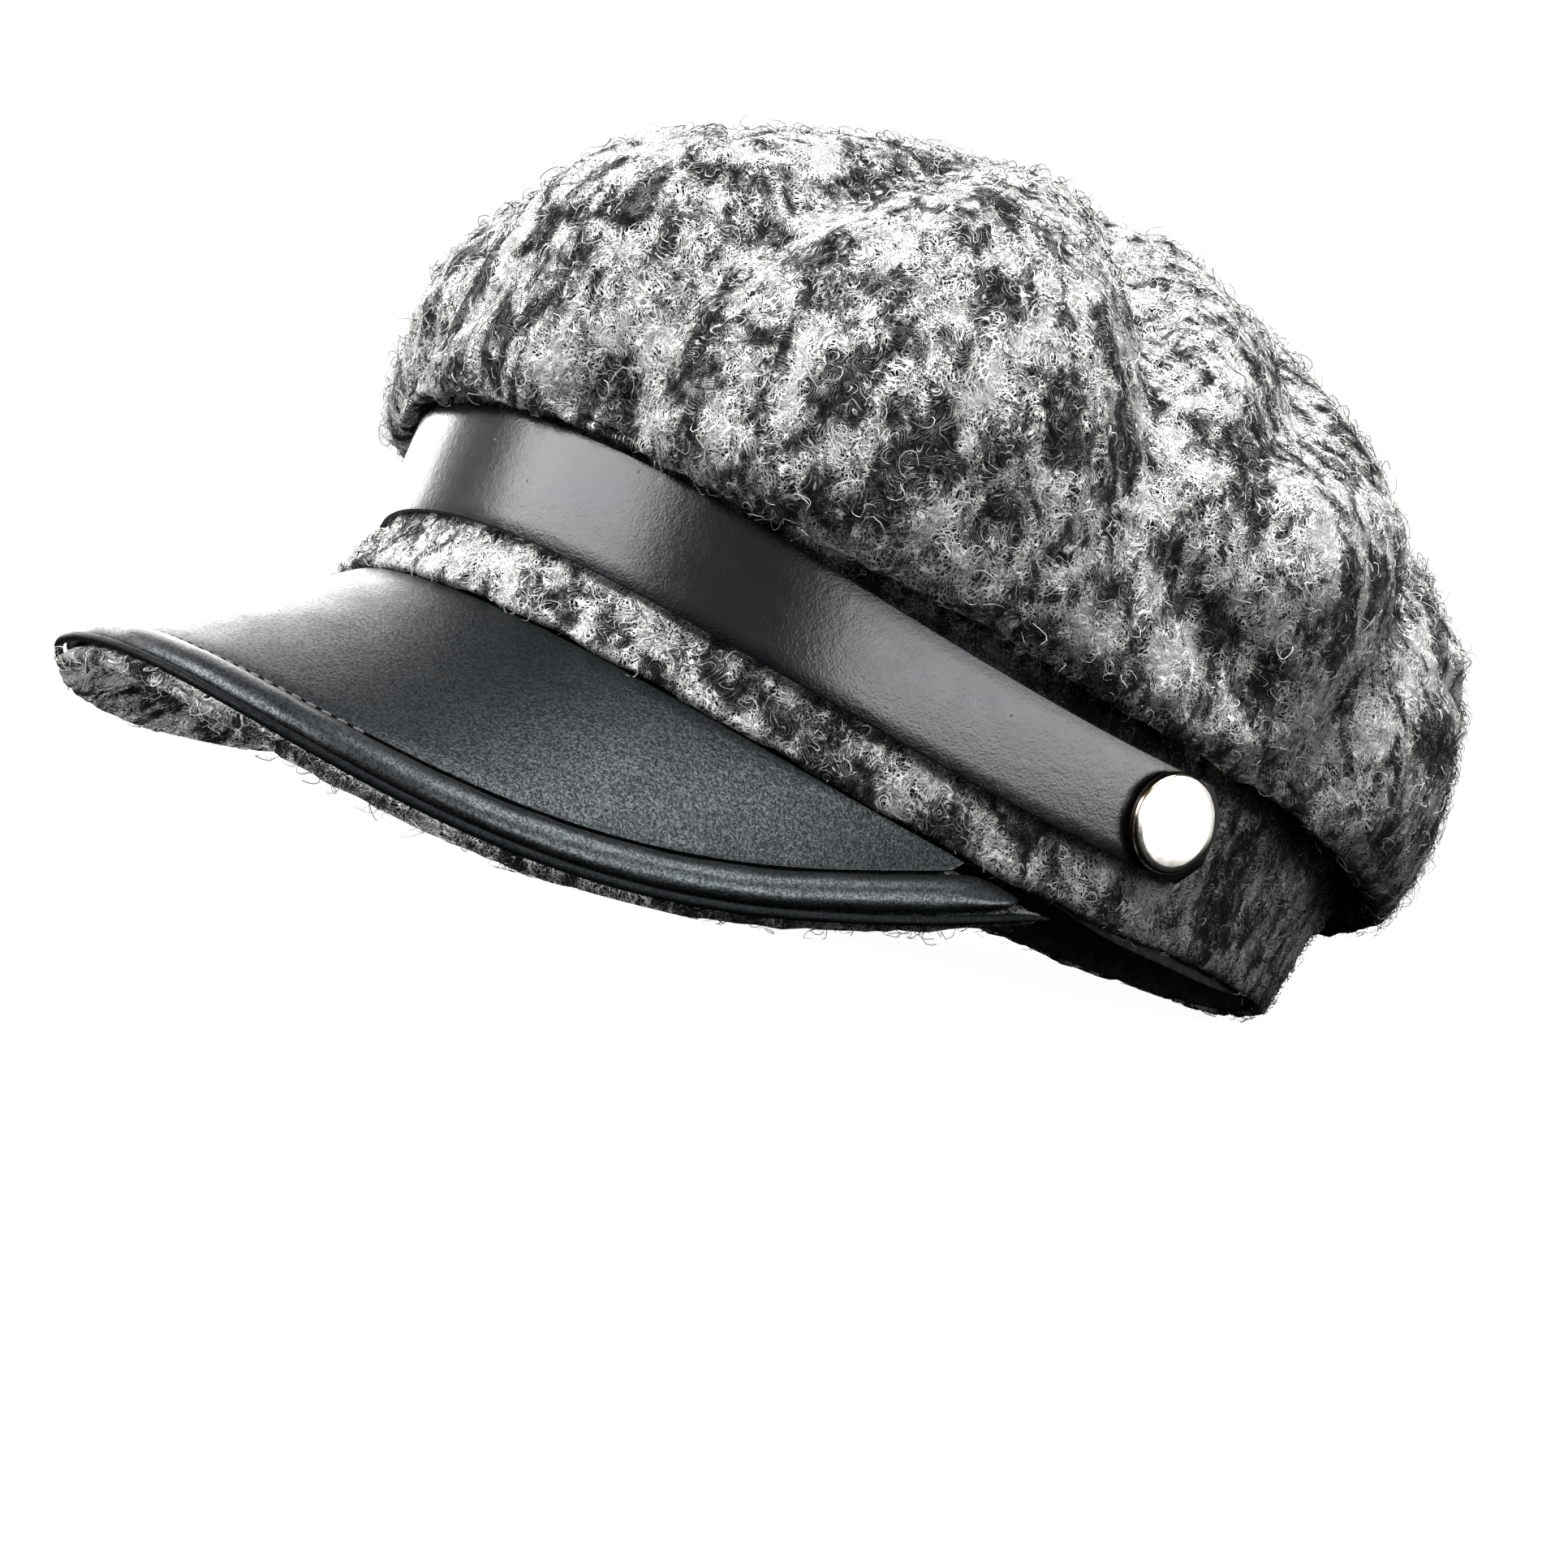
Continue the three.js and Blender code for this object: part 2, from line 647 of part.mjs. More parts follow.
// The lowest height of the meshes that pass a test, once tilted by an angle with the front rising.
function lowest(test, tilt) {
  const turn = new THREE.Matrix4().makeRotationX(-tilt);
  let low = Infinity;
  worn.traverse((mesh) => {
    if (!mesh.isMesh || !test(mesh.name)) return;
    const position = mesh.geometry.getAttribute("position");
    for (let i = 0; i < position.count; i++) {
      const p = new THREE.Vector3().fromBufferAttribute(position, i);
      low = Math.min(low, p.applyMatrix4(turn).z);
    }
  });
  return low;
}

// The tilt at which the peak and the back of the band come down together.
function restTilt() {
  let low = 0;
  let high = deg(20);
  for (let i = 0; i < 30; i++) {
    const tilt = (low + high) / 2;
    const peakLow = lowest((name) => name.startsWith("peak"), tilt);
    const bandLow = lowest((name) => name === "band", tilt);
    if (peakLow < bandLow) low = tilt;
    else high = tilt;
  }
  return (low + high) / 2;
}

// Sets the cap down on z = 0 and centres it there.
const tilt = restTilt();
worn.rotation.x = -tilt;
worn.position.z = -lowest((name) => name === "band", tilt) - REST_FLATTEN;
const cap = new THREE.Group();
cap.add(worn);
cap.updateMatrixWorld(true);
const box = new THREE.Box3().setFromObject(cap, true);
worn.position.x -= (box.min.x + box.max.x) / 2;
worn.position.y -= (box.min.y + box.max.y) / 2;
cap.updateMatrixWorld(true);

// Presses the cloth that touches the surface flat against it.
const floorDepth = 20;
const floor = new THREE.BoxGeometry(600, 600, floorDepth).translate(0, 0, -floorDepth / 2);
for (const name of ["band", "peak_underside"]) {
  const mesh = worn.getObjectByName(name);
  const toMesh = mesh.matrixWorld.clone().invert();
  const under = solidOf(floor.clone().applyMatrix4(toMesh));
  mesh.geometry = geometryOfSolid(solidOf(mesh.geometry).subtract(under));
}

export default cap;
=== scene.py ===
"""A baker boy cap of mottled boiled wool: folded crown, band, strap with two snap caps, leather-covered peak.

Metres, +Z up, the peak towards -Y and the wearer's left towards +X. The worn frame has the cap as it is worn,
its rim level at the sides. On the floor the cap lies tilted back from it.
"""

import math

import bmesh
import bpy
import numpy as np
from mathutils import Matrix, Vector, noise
from mathutils.bvhtree import BVHTree


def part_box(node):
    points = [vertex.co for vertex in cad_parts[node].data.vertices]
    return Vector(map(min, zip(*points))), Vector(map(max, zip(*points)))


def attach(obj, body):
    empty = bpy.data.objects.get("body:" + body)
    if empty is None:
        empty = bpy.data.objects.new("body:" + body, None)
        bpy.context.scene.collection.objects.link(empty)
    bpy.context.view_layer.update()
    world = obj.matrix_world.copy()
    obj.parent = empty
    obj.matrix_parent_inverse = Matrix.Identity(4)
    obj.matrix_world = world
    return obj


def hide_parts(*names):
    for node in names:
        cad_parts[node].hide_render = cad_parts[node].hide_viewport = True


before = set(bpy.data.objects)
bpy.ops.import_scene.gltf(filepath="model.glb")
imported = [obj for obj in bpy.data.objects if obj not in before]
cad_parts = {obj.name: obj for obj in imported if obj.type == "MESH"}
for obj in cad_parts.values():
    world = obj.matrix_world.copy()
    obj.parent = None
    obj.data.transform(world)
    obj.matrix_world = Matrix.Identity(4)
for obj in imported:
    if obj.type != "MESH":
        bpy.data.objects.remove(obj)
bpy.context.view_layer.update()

bl_info = {
    "name": "Baker boy cap",
    "version": (1, 0, 0),
    "blender": (4, 5, 0),
    "location": "3D View > Sidebar > Cap",
    "description": "A wool baker boy cap with a leather strap, metal snap caps and a leather-covered peak",
    "category": "Object",
}

MM = 0.001

# From the worn frame to the floor.
REST = Matrix.Translation(Vector((0.53, 20.09, 14.10)) * MM) @ Matrix.Rotation(math.radians(-6.26), 4, "X")

# The band's oval outside and its rim, as the solids have them, in millimetres.
BAND_HALF_WIDTH = 90.7
BAND_HALF_LENGTH = 100.9
BAND_HEIGHT = 37.0
RIM_FRONT_ARCH = 16.0
RIM_BACK_DIP = 4.7
BACK_TAPER = 9.0
GAP = 0.3

# The strap and its snap caps, in millimetres, with the caps' angle from the front in degrees.
STRAP_BOTTOM = 12.1
STRAP_WIDTH = 20.6
STRAP_END_WIDTH = 18.4
STRAP_WALL = 1.6
STRAP_CORNER = 4.6
STRAP_PAST_SNAP = 12.2
STRAP_COLUMNS = 132
SNAP_ANGLE = 87.8
SNAP_HEIGHT = 20.9

# A snap cap's section, as radius and height: its face, the rolled edge and the back.
SNAP_FACE = [(0, 2.58), (4, 2.56), (7.3, 2.5), (7.75, 2.46), (7.95, 2.38)]
SNAP_EDGE = [(8.2, 2.36), (8.55, 2.2), (8.8, 1.85), (8.9, 1.4), (8.88, 0.9), (8.72, 0.45), (8.4, 0.15)]
SNAP_BACK = [(7.9, 0.02), (7, 0.0), (0, 0.0)]

# The middle of the crown and of the band, above the rim in the worn frame, in millimetres.
CROWN_MIDDLE = 45
BAND_MIDDLE = 15

# The crown's creases, each through three directions seen from the crown's middle in the worn frame: an angle
# from the front towards the wearer's left and an angle up. Their depth and width are in millimetres.
CREASES = [
    {"through": ((17, 3), (20, 6), (22, 21)), "depth": 1.6, "width": 5.0},
    {"through": ((22, 21), (27, 31), (32, 48)), "depth": 1.8, "width": 8.0},
    {"through": ((72, 14), (71, 31), (69, 57)), "depth": 3.0, "width": 5.0},
    {"through": ((77, 23), (101, 37), (124, 63)), "depth": 2.2, "width": 5.0},
    {"through": ((75, 12), (81, 5), (88, 1)), "depth": 2.4, "width": 5.0},
    {"through": ((98, -7), (103, -3), (107, 8)), "depth": 2.8, "width": 5.0},
    {"through": ((107, 8), (124, 22), (141, 42)), "depth": 3.0, "width": 5.5},
    {"through": ((114, 10), (128, 12), (143, 14)), "depth": 2.4, "width": 3.0},
    {"through": ((118, 30), (128, 33), (136, 31)), "depth": 1.2, "width": 4.0},
    {"through": ((338, 2), (341, 6), (344, 17)), "depth": 2.0, "width": 5.0},
    {"through": ((344, 17), (339, 29), (334, 51)), "depth": 1.8, "width": 8.0},
    {"through": ((346, 6), (354, 9), (3, 12)), "depth": 1.2, "width": 4.0},
    {"through": ((178, -13), (175, 9), (173, 53)), "depth": 2.4, "width": 5.0},
    {"through": ((215, -11), (219, 8), (223, 45)), "depth": 2.4, "width": 5.0},
    {"through": ((255, -7), (248, -1), (242, 12)), "depth": 2.4, "width": 5.0},
    {"through": ((292, -3), (295, 17), (298, 57)), "depth": 2.6, "width": 5.5},
    {"through": ((290, 19), (278, 25), (266, 31)), "depth": 2.0, "width": 5.0},
]

# The most that the cloth sinks where creases meet, in millimetres.
DEEPEST = 4.0

# The nap's loose curls: their radius, how many turns they wind, how far they rise and how thick they are, in
# millimetres, and how many there are on the crown.
CURLS = {
    "short": {"radius": 0.85, "turns": 0.8, "rise": 0.9, "thick": 0.16, "count": 3800},
    "middle": {"radius": 1.25, "turns": 0.8, "rise": 1.2, "thick": 0.15, "count": 3800},
    "long": {"radius": 1.9, "turns": 0.8, "rise": 1.6, "thick": 0.15, "count": 3200},
}


def linear(code):
    """The linear colour of an sRGB hex value."""
    parts = [int(code[i : i + 2], 16) / 255 for i in (1, 3, 5)]
    return [c / 12.92 if c <= 0.04045 else ((c + 0.055) / 1.055) ** 2.4 for c in parts]


def smooth(x, low, high):
    """Eases from 0 to 1 as x goes from low to high."""
    t = min(1.0, max(0.0, (x - low) / (high - low)))
    return t * t * (3 - 2 * t)


class CapWool(bpy.types.PropertyGroup):
    """The wool and its nap."""

    light: bpy.props.FloatVectorProperty(
        name="Light wool", description="Colour of the undyed curls", subtype="COLOR", size=3,
        default=linear("#F6F5F2"),
    )
    dark: bpy.props.FloatVectorProperty(
        name="Dark wool", description="Colour of the dyed curls", subtype="COLOR", size=3,
        default=linear("#06070A"),
    )
    patch: bpy.props.FloatProperty(
        name="Patch size", description="Width of a dark or light patch", unit="LENGTH",
        default=8.5 * MM, min=1 * MM,
    )
    share: bpy.props.FloatProperty(
        name="Light share", description="Shifts the patches from dark to light",
        subtype="FACTOR", default=0.5, min=0, max=1,
    )
    nap: bpy.props.FloatProperty(
        name="Nap", description="How many loose curls stand on the wool", subtype="FACTOR",
        default=1.0, min=0, max=1,
    )


class CapLeather(bpy.types.PropertyGroup):
    """The leather, the lining and the snap caps."""

    strap: bpy.props.FloatVectorProperty(
        name="Strap", description="Colour of the strap", subtype="COLOR", size=3,
        default=linear("#09090D"),
    )
    peak: bpy.props.FloatVectorProperty(
        name="Peak", description="Colour of the peak's leather", subtype="COLOR", size=3,
        default=linear("#0B0E0F"),
    )
    tape: bpy.props.FloatVectorProperty(
        name="Sweatband", description="Colour of the sweatband", subtype="COLOR", size=3,
        default=linear("#0E0E10"),
    )
    metal: bpy.props.FloatVectorProperty(
        name="Snap caps", description="Colour of the plating", subtype="COLOR", size=3,
        default=linear("#DEDBD4"),
    )
    stitch: bpy.props.FloatProperty(
        name="Stitch", description="Length of a stitch and its gap", unit="LENGTH",
        default=3.2 * MM, min=1 * MM,
    )


class CapStage(bpy.types.PropertyGroup):
    """The floor, the light and the camera."""

    elevation: bpy.props.FloatProperty(
        name="Camera height", description="Angle above the floor", subtype="ANGLE",
        default=math.radians(1.2),
    )
    light: bpy.props.FloatProperty(
        name="Light", description="Strength of all the lamps", subtype="FACTOR", default=1.0,
        min=0, soft_max=2,
    )


def wool():
    return bpy.context.scene.cap_wool


def leather():
    return bpy.context.scene.cap_leather


# Nodes


def node(tree, kind, inputs=None, **settings):
    """Adds a node with its settings. An input is a value or the socket that feeds it."""
    made = tree.nodes.new(kind)
    for key, value in settings.items():
        setattr(made, key, value)
    for key, value in (inputs or {}).items():
        socket = made.inputs[key]
        if isinstance(value, bpy.types.NodeSocket):
            tree.links.new(value, socket)
        else:
            socket.default_value = value
    return made


def math_of(tree, operation, *values, clamp=False):
    """The result of an operation on two or three values or sockets."""
    made = node(tree, "ShaderNodeMath", dict(enumerate(values)), operation=operation, use_clamp=clamp)
    return made.outputs[0]


def ramp_of(tree, value, low, high, start=0.0, end=1.0):
    """A value eased from start to end as it goes from low to high."""
    made = node(
        tree,
        "ShaderNodeMapRange",
        {"Value": value, "From Min": low, "From Max": high, "To Min": start, "To Max": end},
        interpolation_type="SMOOTHSTEP",
    )
    return made.outputs[0]


def blend_of(tree, factor, a, b):
    """Two colours blended."""
    return node(tree, "ShaderNodeMix", {0: factor, 6: a, 7: b}, data_type="RGBA").outputs[2]


def hills_of(tree, place, size, detail=2.0, distortion=0.0, stretch=(1, 1, 1), shift=(0, 0, 0)):
    """A noise whose hills are about size metres across, longer where the stretch is over 1."""
    scaled = node(
        tree,
        "ShaderNodeVectorMath",
        {0: place, 1: [1 / (size * s) for s in stretch], 2: shift},
        operation="MULTIPLY_ADD",
    )
    made = node(
        tree,
        "ShaderNodeTexNoise",
        {"Vector": scaled.outputs[0], "Scale": 1.0, "Detail": detail, "Distortion": distortion},
    )
    return made.outputs[0]


def rgba(colour):
    return (*colour, 1.0)


def new_material(name):
    """A material with its node tree, its surface shader and the object's coordinates."""
    material = bpy.data.materials.new(name)
    material.use_nodes = True
    tree = material.node_tree
    place = node(tree, "ShaderNodeTexCoord").outputs["Object"]
    return material, tree, tree.nodes["Principled BSDF"], place


def set_bump(tree, surface, height, distance, strength=1.0):
    bump = node(tree, "ShaderNodeBump", {"Height": height, "Distance": distance, "Strength": strength})
    tree.links.new(bump.outputs[0], surface.inputs["Normal"])


# Materials


def wool_patches(tree, place):
    """How light the wool is at a place, from 0 to 1: upright patches with streaky, ragged edges."""
    size = wool().patch
    broad = hills_of(tree, place, size, 2.0, 0.6, (1, 1, 1.35))
    streaks = hills_of(tree, place, 2.4 * MM, 2.0, 0.5, (1, 1, 2.0), (7, 3, 5))
    both = math_of(tree, "ADD", broad, math_of(tree, "MULTIPLY_ADD", streaks, 0.5, -0.25))
    # The noise's middle, and how far the share moves it.
    middle = 0.56 - 0.12 * wool().share
    return ramp_of(tree, both, middle - 0.17, middle + 0.19)


def strands(tree, place, size, lines, shift):
    """Fine curled lines: the level lines of a noise's three parts."""
    moved = node(
        tree,
        "ShaderNodeVectorMath",
        {0: place, 1: [1 / size] * 3, 2: shift},
        operation="MULTIPLY_ADD",
    )
    hills = node(
        tree,
        "ShaderNodeTexNoise",
        {"Vector": moved.outputs[0], "Scale": 1.0, "Detail": 0.8, "Distortion": 0.9},
    )
    parts = node(tree, "ShaderNodeSeparateColor", {0: hills.outputs["Color"]})
    layers = []
    for part in parts.outputs:
        saw = math_of(tree, "PINGPONG", math_of(tree, "MULTIPLY", part, lines), 0.5)
        layers.append(ramp_of(tree, saw, 0.025, 0.11, 1.0, 0.0))
    tangle = math_of(tree, "MAXIMUM", layers[0], layers[1])
    return layers[2], math_of(tree, "MAXIMUM", tangle, layers[2])


def boiled_wool():
    """Loop wool, boiled and brushed: matt, and a tangle of curled fibres in light and dark lines."""
    material, tree, surface, place = new_material("boiled_wool")
    patches = wool_patches(tree, place)
    # Fibres lie in loops 2 to 4 mm wide, and are drawn 0.2 mm wide.
    _, close = strands(tree, place, 3.6 * MM, 12.0, (0, 0, 0))
    single, loose = strands(tree, place, 5.4 * MM, 16.0, (2, 17, 9))
    full = math_of(tree, "MAXIMUM", close, loose)
    clumps = hills_of(tree, place, 3.0 * MM, 2.0, 0.4, shift=(5, 1, 8))
    # Light fibres cover a light patch, thin out towards its edge, and a few cross the dark.
    cover = math_of(tree, "MULTIPLY_ADD", full, 0.62, math_of(tree, "MULTIPLY", patches, 0.78))
    thick = ramp_of(tree, cover, 0.58, 1.12)
    few = math_of(tree, "MULTIPLY", single, ramp_of(tree, clumps, 0.35, 0.65, 0.08, 0.65))
    faint = math_of(tree, "MULTIPLY", close, ramp_of(tree, clumps, 0.3, 0.7, 0.0, 0.14))
    lit = math_of(tree, "MAXIMUM", thick, math_of(tree, "MAXIMUM", few, faint))
    fleck = math_of(tree, "MULTIPLY", lit, ramp_of(tree, clumps, 0.25, 0.6, 0.6, 1.0))
    colour = blend_of(tree, fleck, rgba(wool().dark), rgba(wool().light))
    tree.links.new(colour, surface.inputs["Base Color"])
    set_bump(tree, surface, math_of(tree, "MULTIPLY_ADD", full, 0.45, clumps), 0.9 * MM)
    surface.inputs["Roughness"].default_value = 0.95
    surface.inputs["Specular IOR Level"].default_value = 0.03
    return material


def wool_fibre():
    """Single wool fibres that have worked loose: matt, undyed or dyed, as their attribute says."""
    material, tree, surface, _ = new_material("wool_fibre")
    tint = node(tree, "ShaderNodeAttribute", attribute_name="tint").outputs["Fac"]
    colour = blend_of(tree, tint, rgba(wool().dark), rgba(wool().light))
    tree.links.new(colour, surface.inputs["Base Color"])
    surface.inputs["Roughness"].default_value = 0.8
    surface.inputs["Specular IOR Level"].default_value = 0.06
    return material


def coated_leather():
    """Split leather with a smooth coated face: satin, with a faint grain, a few pits and bare cut edges."""
    material, tree, surface, place = new_material("coated_strap_leather")
    # The coat's grain is 0.4 mm, the split's own unevenness under it 1.6 mm, its pits about 5 mm apart.
    grain = hills_of(tree, place, 0.4 * MM, 2.0, 0.2)
    uneven = hills_of(tree, place, 1.6 * MM, 3.0, 0.2)
    waves = hills_of(tree, place, 5 * MM, 2.0, 0.2)
    cells = node(
        tree,
        "ShaderNodeTexVoronoi",
        {"Vector": place, "Scale": 1 / (5 * MM), "Randomness": 1.0},
        feature="F1",
    )
    pits = ramp_of(tree, cells.outputs["Distance"], 0.02, 0.06, 0.0, 1.0)
    cut = node(tree, "ShaderNodeAttribute", attribute_name="cut").outputs["Fac"]
    paler = rgba([1.25 * c for c in leather().strap])
    face = blend_of(tree, ramp_of(tree, waves, 0.35, 0.65), rgba(leather().strap), paler)
    # The cut shows the split's dark suede.
    colour = blend_of(tree, cut, face, rgba(linear("#3A393B")))
    tree.links.new(colour, surface.inputs["Base Color"])
    rough = math_of(tree, "MULTIPLY_ADD", grain, 0.12, ramp_of(tree, waves, 0.2, 0.8, 0.14, 0.19))
    rougher_cut = math_of(tree, "MULTIPLY_ADD", cut, 0.45, rough, clamp=True)
    tree.links.new(rougher_cut, surface.inputs["Roughness"])
    height = math_of(tree, "MULTIPLY_ADD", grain, 0.7, math_of(tree, "ADD", pits, uneven))
    set_bump(tree, surface, height, 0.045 * MM)
    surface.inputs["IOR"].default_value = 1.5
    surface.inputs["Specular IOR Level"].default_value = 0.23
    surface.inputs["Specular Tint"].default_value = rgba(linear("#FBFBFF"))
    return material


def pebbled_leather(name, size, depth, roughness, shine):
    """Milled leather: black, half gloss, all small soft bumps that catch the light between creases darkened
    and dulled by painted shade.
    """
    material, tree, surface, place = new_material(name)
    # Bumps are a little longer across the peak.
    bumps = hills_of(tree, place, size, 2.0, 0.5, (1.5, 1, 1))
    creases = hills_of(tree, place, 1.7 * size, 2.0, 0.4, (1.5, 1, 1), (4, 9, 2))
    folded = math_of(tree, "PINGPONG", math_of(tree, "MULTIPLY", creases, 5.0), 0.5)
    crease = ramp_of(tree, folded, 0.0, 0.16)
    broad = hills_of(tree, place, 9 * MM, 2.0, 0.3)
    # Painted shade: the creases are darker in colour, and the broad noise varies the tone at random.
    crease_shade_and_tone = math_of(tree, "MULTIPLY", crease, ramp_of(tree, broad, 0.3, 0.7, 0.6, 1.0))
    colour = blend_of(tree, crease_shade_and_tone, rgba([0.4 * c for c in leather().peak]), rgba(leather().peak))
    tree.links.new(colour, surface.inputs["Base Color"])
    rough = ramp_of(tree, broad, 0.3, 0.7, roughness + 0.04, roughness - 0.04)
    tree.links.new(rough, surface.inputs["Roughness"])
    set_bump(tree, surface, math_of(tree, "MULTIPLY_ADD", crease, 0.4, bumps), depth)
    surface.inputs["IOR"].default_value = 1.5
    surface.inputs["Specular Tint"].default_value = rgba(linear("#EFFBFF"))
    # Painted shade: the gloss is cut in the creases and hollows.
    gloss_out_of_shade = math_of(tree, "MULTIPLY", crease, ramp_of(tree, bumps, 0.36, 0.62, 0.1, 1.0))
    level = ramp_of(tree, gloss_out_of_shade, 0.0, 1.0, 0.3 * shine, shine)
    tree.links.new(level, surface.inputs["Specular IOR Level"])
    return material


def twill_tape():
    """Cotton twill tape: black and matt, with fine slanted ribs."""
    material, tree, surface, place = new_material("twill_tape")
    # Ribs every 0.8 mm.
    ribs = node(
        tree,
        "ShaderNodeTexWave",
        {"Vector": place, "Scale": 1 / (0.8 * MM) / 20 * math.pi, "Distortion": 0.6},
        bands_direction="DIAGONAL",
    ).outputs["Fac"]
    lint = hills_of(tree, place, 2 * MM, 3.0)
    colour = blend_of(tree, ramp_of(tree, lint, 0.4, 0.75), rgba(leather().tape), rgba(linear("#26272B")))
    tree.links.new(colour, surface.inputs["Base Color"])
    set_bump(tree, surface, ribs, 0.12 * MM)
    surface.inputs["Roughness"].default_value = 0.88
    surface.inputs["Specular IOR Level"].default_value = 0.2
    return material


def sewing_thread():
    """Waxed polyester thread: black, with a slight shine along its twist."""
    material, tree, surface, place = new_material("sewing_thread")
    twist = hills_of(tree, place, 0.4 * MM, 2.0)
    colour = blend_of(tree, twist, rgba(linear("#0D0E10")), rgba(linear("#33363A")))
    tree.links.new(colour, surface.inputs["Base Color"])
    set_bump(tree, surface, twist, 0.08 * MM)
    surface.inputs["Roughness"].default_value = 0.5
    return material


def polished_nickel():
    """Nickel plate on pressed brass: bright, with hairline marks, and a turned edge made darker and warmer by
    tarnish and by painted shade.
    """
    material, tree, surface, place = new_material("polished_nickel")
    haze = hills_of(tree, place, 2.5 * MM, 3.0)
    hair = hills_of(tree, place, 0.25 * MM, 2.0, 0.0, (1, 1, 9))
    # The turned edge's darker, warmer colour is partly tarnish and partly painted shade on the rim.
    rim_wear_and_shade = node(tree, "ShaderNodeAttribute", attribute_name="cut").outputs["Fac"]
    wear_and_shade_spots = math_of(tree, "MULTIPLY", rim_wear_and_shade, ramp_of(tree, haze, 0.3, 0.62))
    colour = blend_of(tree, wear_and_shade_spots, rgba(leather().metal), rgba(linear("#8C7A58")))
    tree.links.new(colour, surface.inputs["Base Color"])
    tree.links.new(math_of(tree, "MULTIPLY_ADD", haze, 0.14, 0.1), surface.inputs["Roughness"])
    set_bump(tree, surface, hair, 0.01 * MM, 0.5)
    surface.inputs["Metallic"].default_value = 1.0
    return material


def opal_acrylic():
    """Opal acrylic of a light table, lit from inside: even, white and matt."""
    material, tree, surface, place = new_material("opal_acrylic")
    haze = hills_of(tree, place, 0.08, 2.0)
    colour = blend_of(tree, haze, rgba(linear("#F2F2F1")), rgba(linear("#F7F7F6")))
    tree.links.new(colour, surface.inputs["Base Color"])
    surface.inputs["Roughness"].default_value = 0.9
    surface.inputs["Specular IOR Level"].default_value = 0.1
    surface.inputs["Emission Color"].default_value = (1, 1, 1, 1)
    surface.inputs["Emission Strength"].default_value = 0.95
    return material


# Meshes


def place_piece(name, bm, finish, slot, *replaced):
    """Makes a piece of a bmesh, with its finish, and lets it stand for the solids that it replaces."""
    mesh = bpy.data.meshes.new(name)
    bm.to_mesh(mesh)
    bm.free()
    mesh.materials.clear()
    mesh.materials.append(finish)
    piece = bpy.data.objects.new(name, mesh)
    bpy.context.scene.collection.objects.link(piece)
    for face in mesh.polygons:
        face.use_smooth = True
    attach(piece, "root")
    if replaced:
        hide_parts(*replaced)
    return piece


def solid_copy(name, crease_over=None):
    """A solid's mesh, merged and joined to quads. Edges sharper than an angle in degrees are creased."""
    bm = bmesh.new()
    bm.from_mesh(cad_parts[name].data)
    bmesh.ops.remove_doubles(bm, verts=bm.verts, dist=0.01 * MM)
    bmesh.ops.join_triangles(
        bm, faces=bm.faces, angle_face_threshold=math.radians(50), angle_shape_threshold=math.radians(70)
    )
    if crease_over:
        layer = bm.edges.layers.float.new("crease_edge")
        for edge in bm.edges:
            if edge.is_manifold and edge.calc_face_angle() > math.radians(crease_over):
                edge[layer] = 1.0
    return bm


def cut_long_edges(bm, length):
    """Cuts edges over a length in millimetres in three."""
    long_edges = [edge for edge in bm.edges if edge.calc_length() > length * MM]
    bmesh.ops.subdivide_edges(bm, edges=long_edges, cuts=2, use_grid_fill=True)


def settle(piece):
    """Applies a piece's modifiers."""
    ready = piece.evaluated_get(bpy.context.evaluated_depsgraph_get())
    mesh = bpy.data.meshes.new_from_object(ready)
    piece.modifiers.clear()
    piece.data = mesh
    for face in mesh.polygons:
        face.use_smooth = True


def soften(piece, levels):
    """Subdivides a piece smoothly."""
    made = piece.modifiers.new("soft", "SUBSURF")
    made.levels = levels
    made.render_levels = levels
    settle(piece)


def round_edges(piece, width, over=38):
    """Rounds the edges that are sharper than an angle in degrees."""
    made = piece.modifiers.new("edges", "BEVEL")
    made.width = width
    made.segments = 2
    made.limit_method = "ANGLE"
    made.angle_limit = math.radians(over)
    settle(piece)


def roughen(piece, steps):
    """Moves a piece's points in and out, by noises each given as a size and an amount in millimetres."""
    normals = [vertex.normal.copy() for vertex in piece.data.vertices]
    for vertex, normal in zip(piece.data.vertices, normals):
        push = sum(noise.noise(vertex.co / (size * MM)) * amount for size, amount in steps)
        vertex.co += normal * push * MM
        vertex.co.z = max(vertex.co.z, 0.0)
    piece.data.update()


def band_offset(height, angle):
    """How far the band stands out of its oval where no peak flares it, in millimetres."""
    c = math.cos(angle)
    return BACK_TAPER * c * (1 - min(1, max(0, height / BAND_HEIGHT))) if c < 0 else 0.0


def band_point(degrees, height, out):
    """A point so far outside the band's face, in the worn frame."""
    angle = math.radians(degrees)
    c = math.cos(angle)
    rim = RIM_FRONT_ARCH * c * c if c > 0 else -RIM_BACK_DIP * c * c
    offset = band_offset(height, angle) + out
    across = (BAND_HALF_WIDTH + offset) * math.sin(angle)
    along = -(BAND_HALF_LENGTH + offset) * c
    return Vector((across, along, rim + height)) * MM


def band_normal(degrees):
    """The way out of the band's face, in the worn frame."""
    angle = math.radians(degrees)
    return Vector((math.sin(angle) / BAND_HALF_WIDTH, -math.cos(angle) / BAND_HALF_LENGTH, 0)).normalized()


def check_fit(piece, node_name, slack):
    """Stops if a piece isn't where the solid is that it stands for."""
    low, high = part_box(node_name)
    points = np.array([v.co for v in piece.data.vertices])
    apart = max(abs(points.min(0) - np.array(low)).max(), abs(points.max(0) - np.array(high)).max())
    if apart > slack * MM:
        raise RuntimeError(f"{piece.name} is {apart / MM:.2f} mm off the solid {node_name}")


def above_rim(height):
    """A point on the cap's upright middle line, so many millimetres above the rim in the worn frame."""
    return REST @ Vector((0, 0, height * MM))


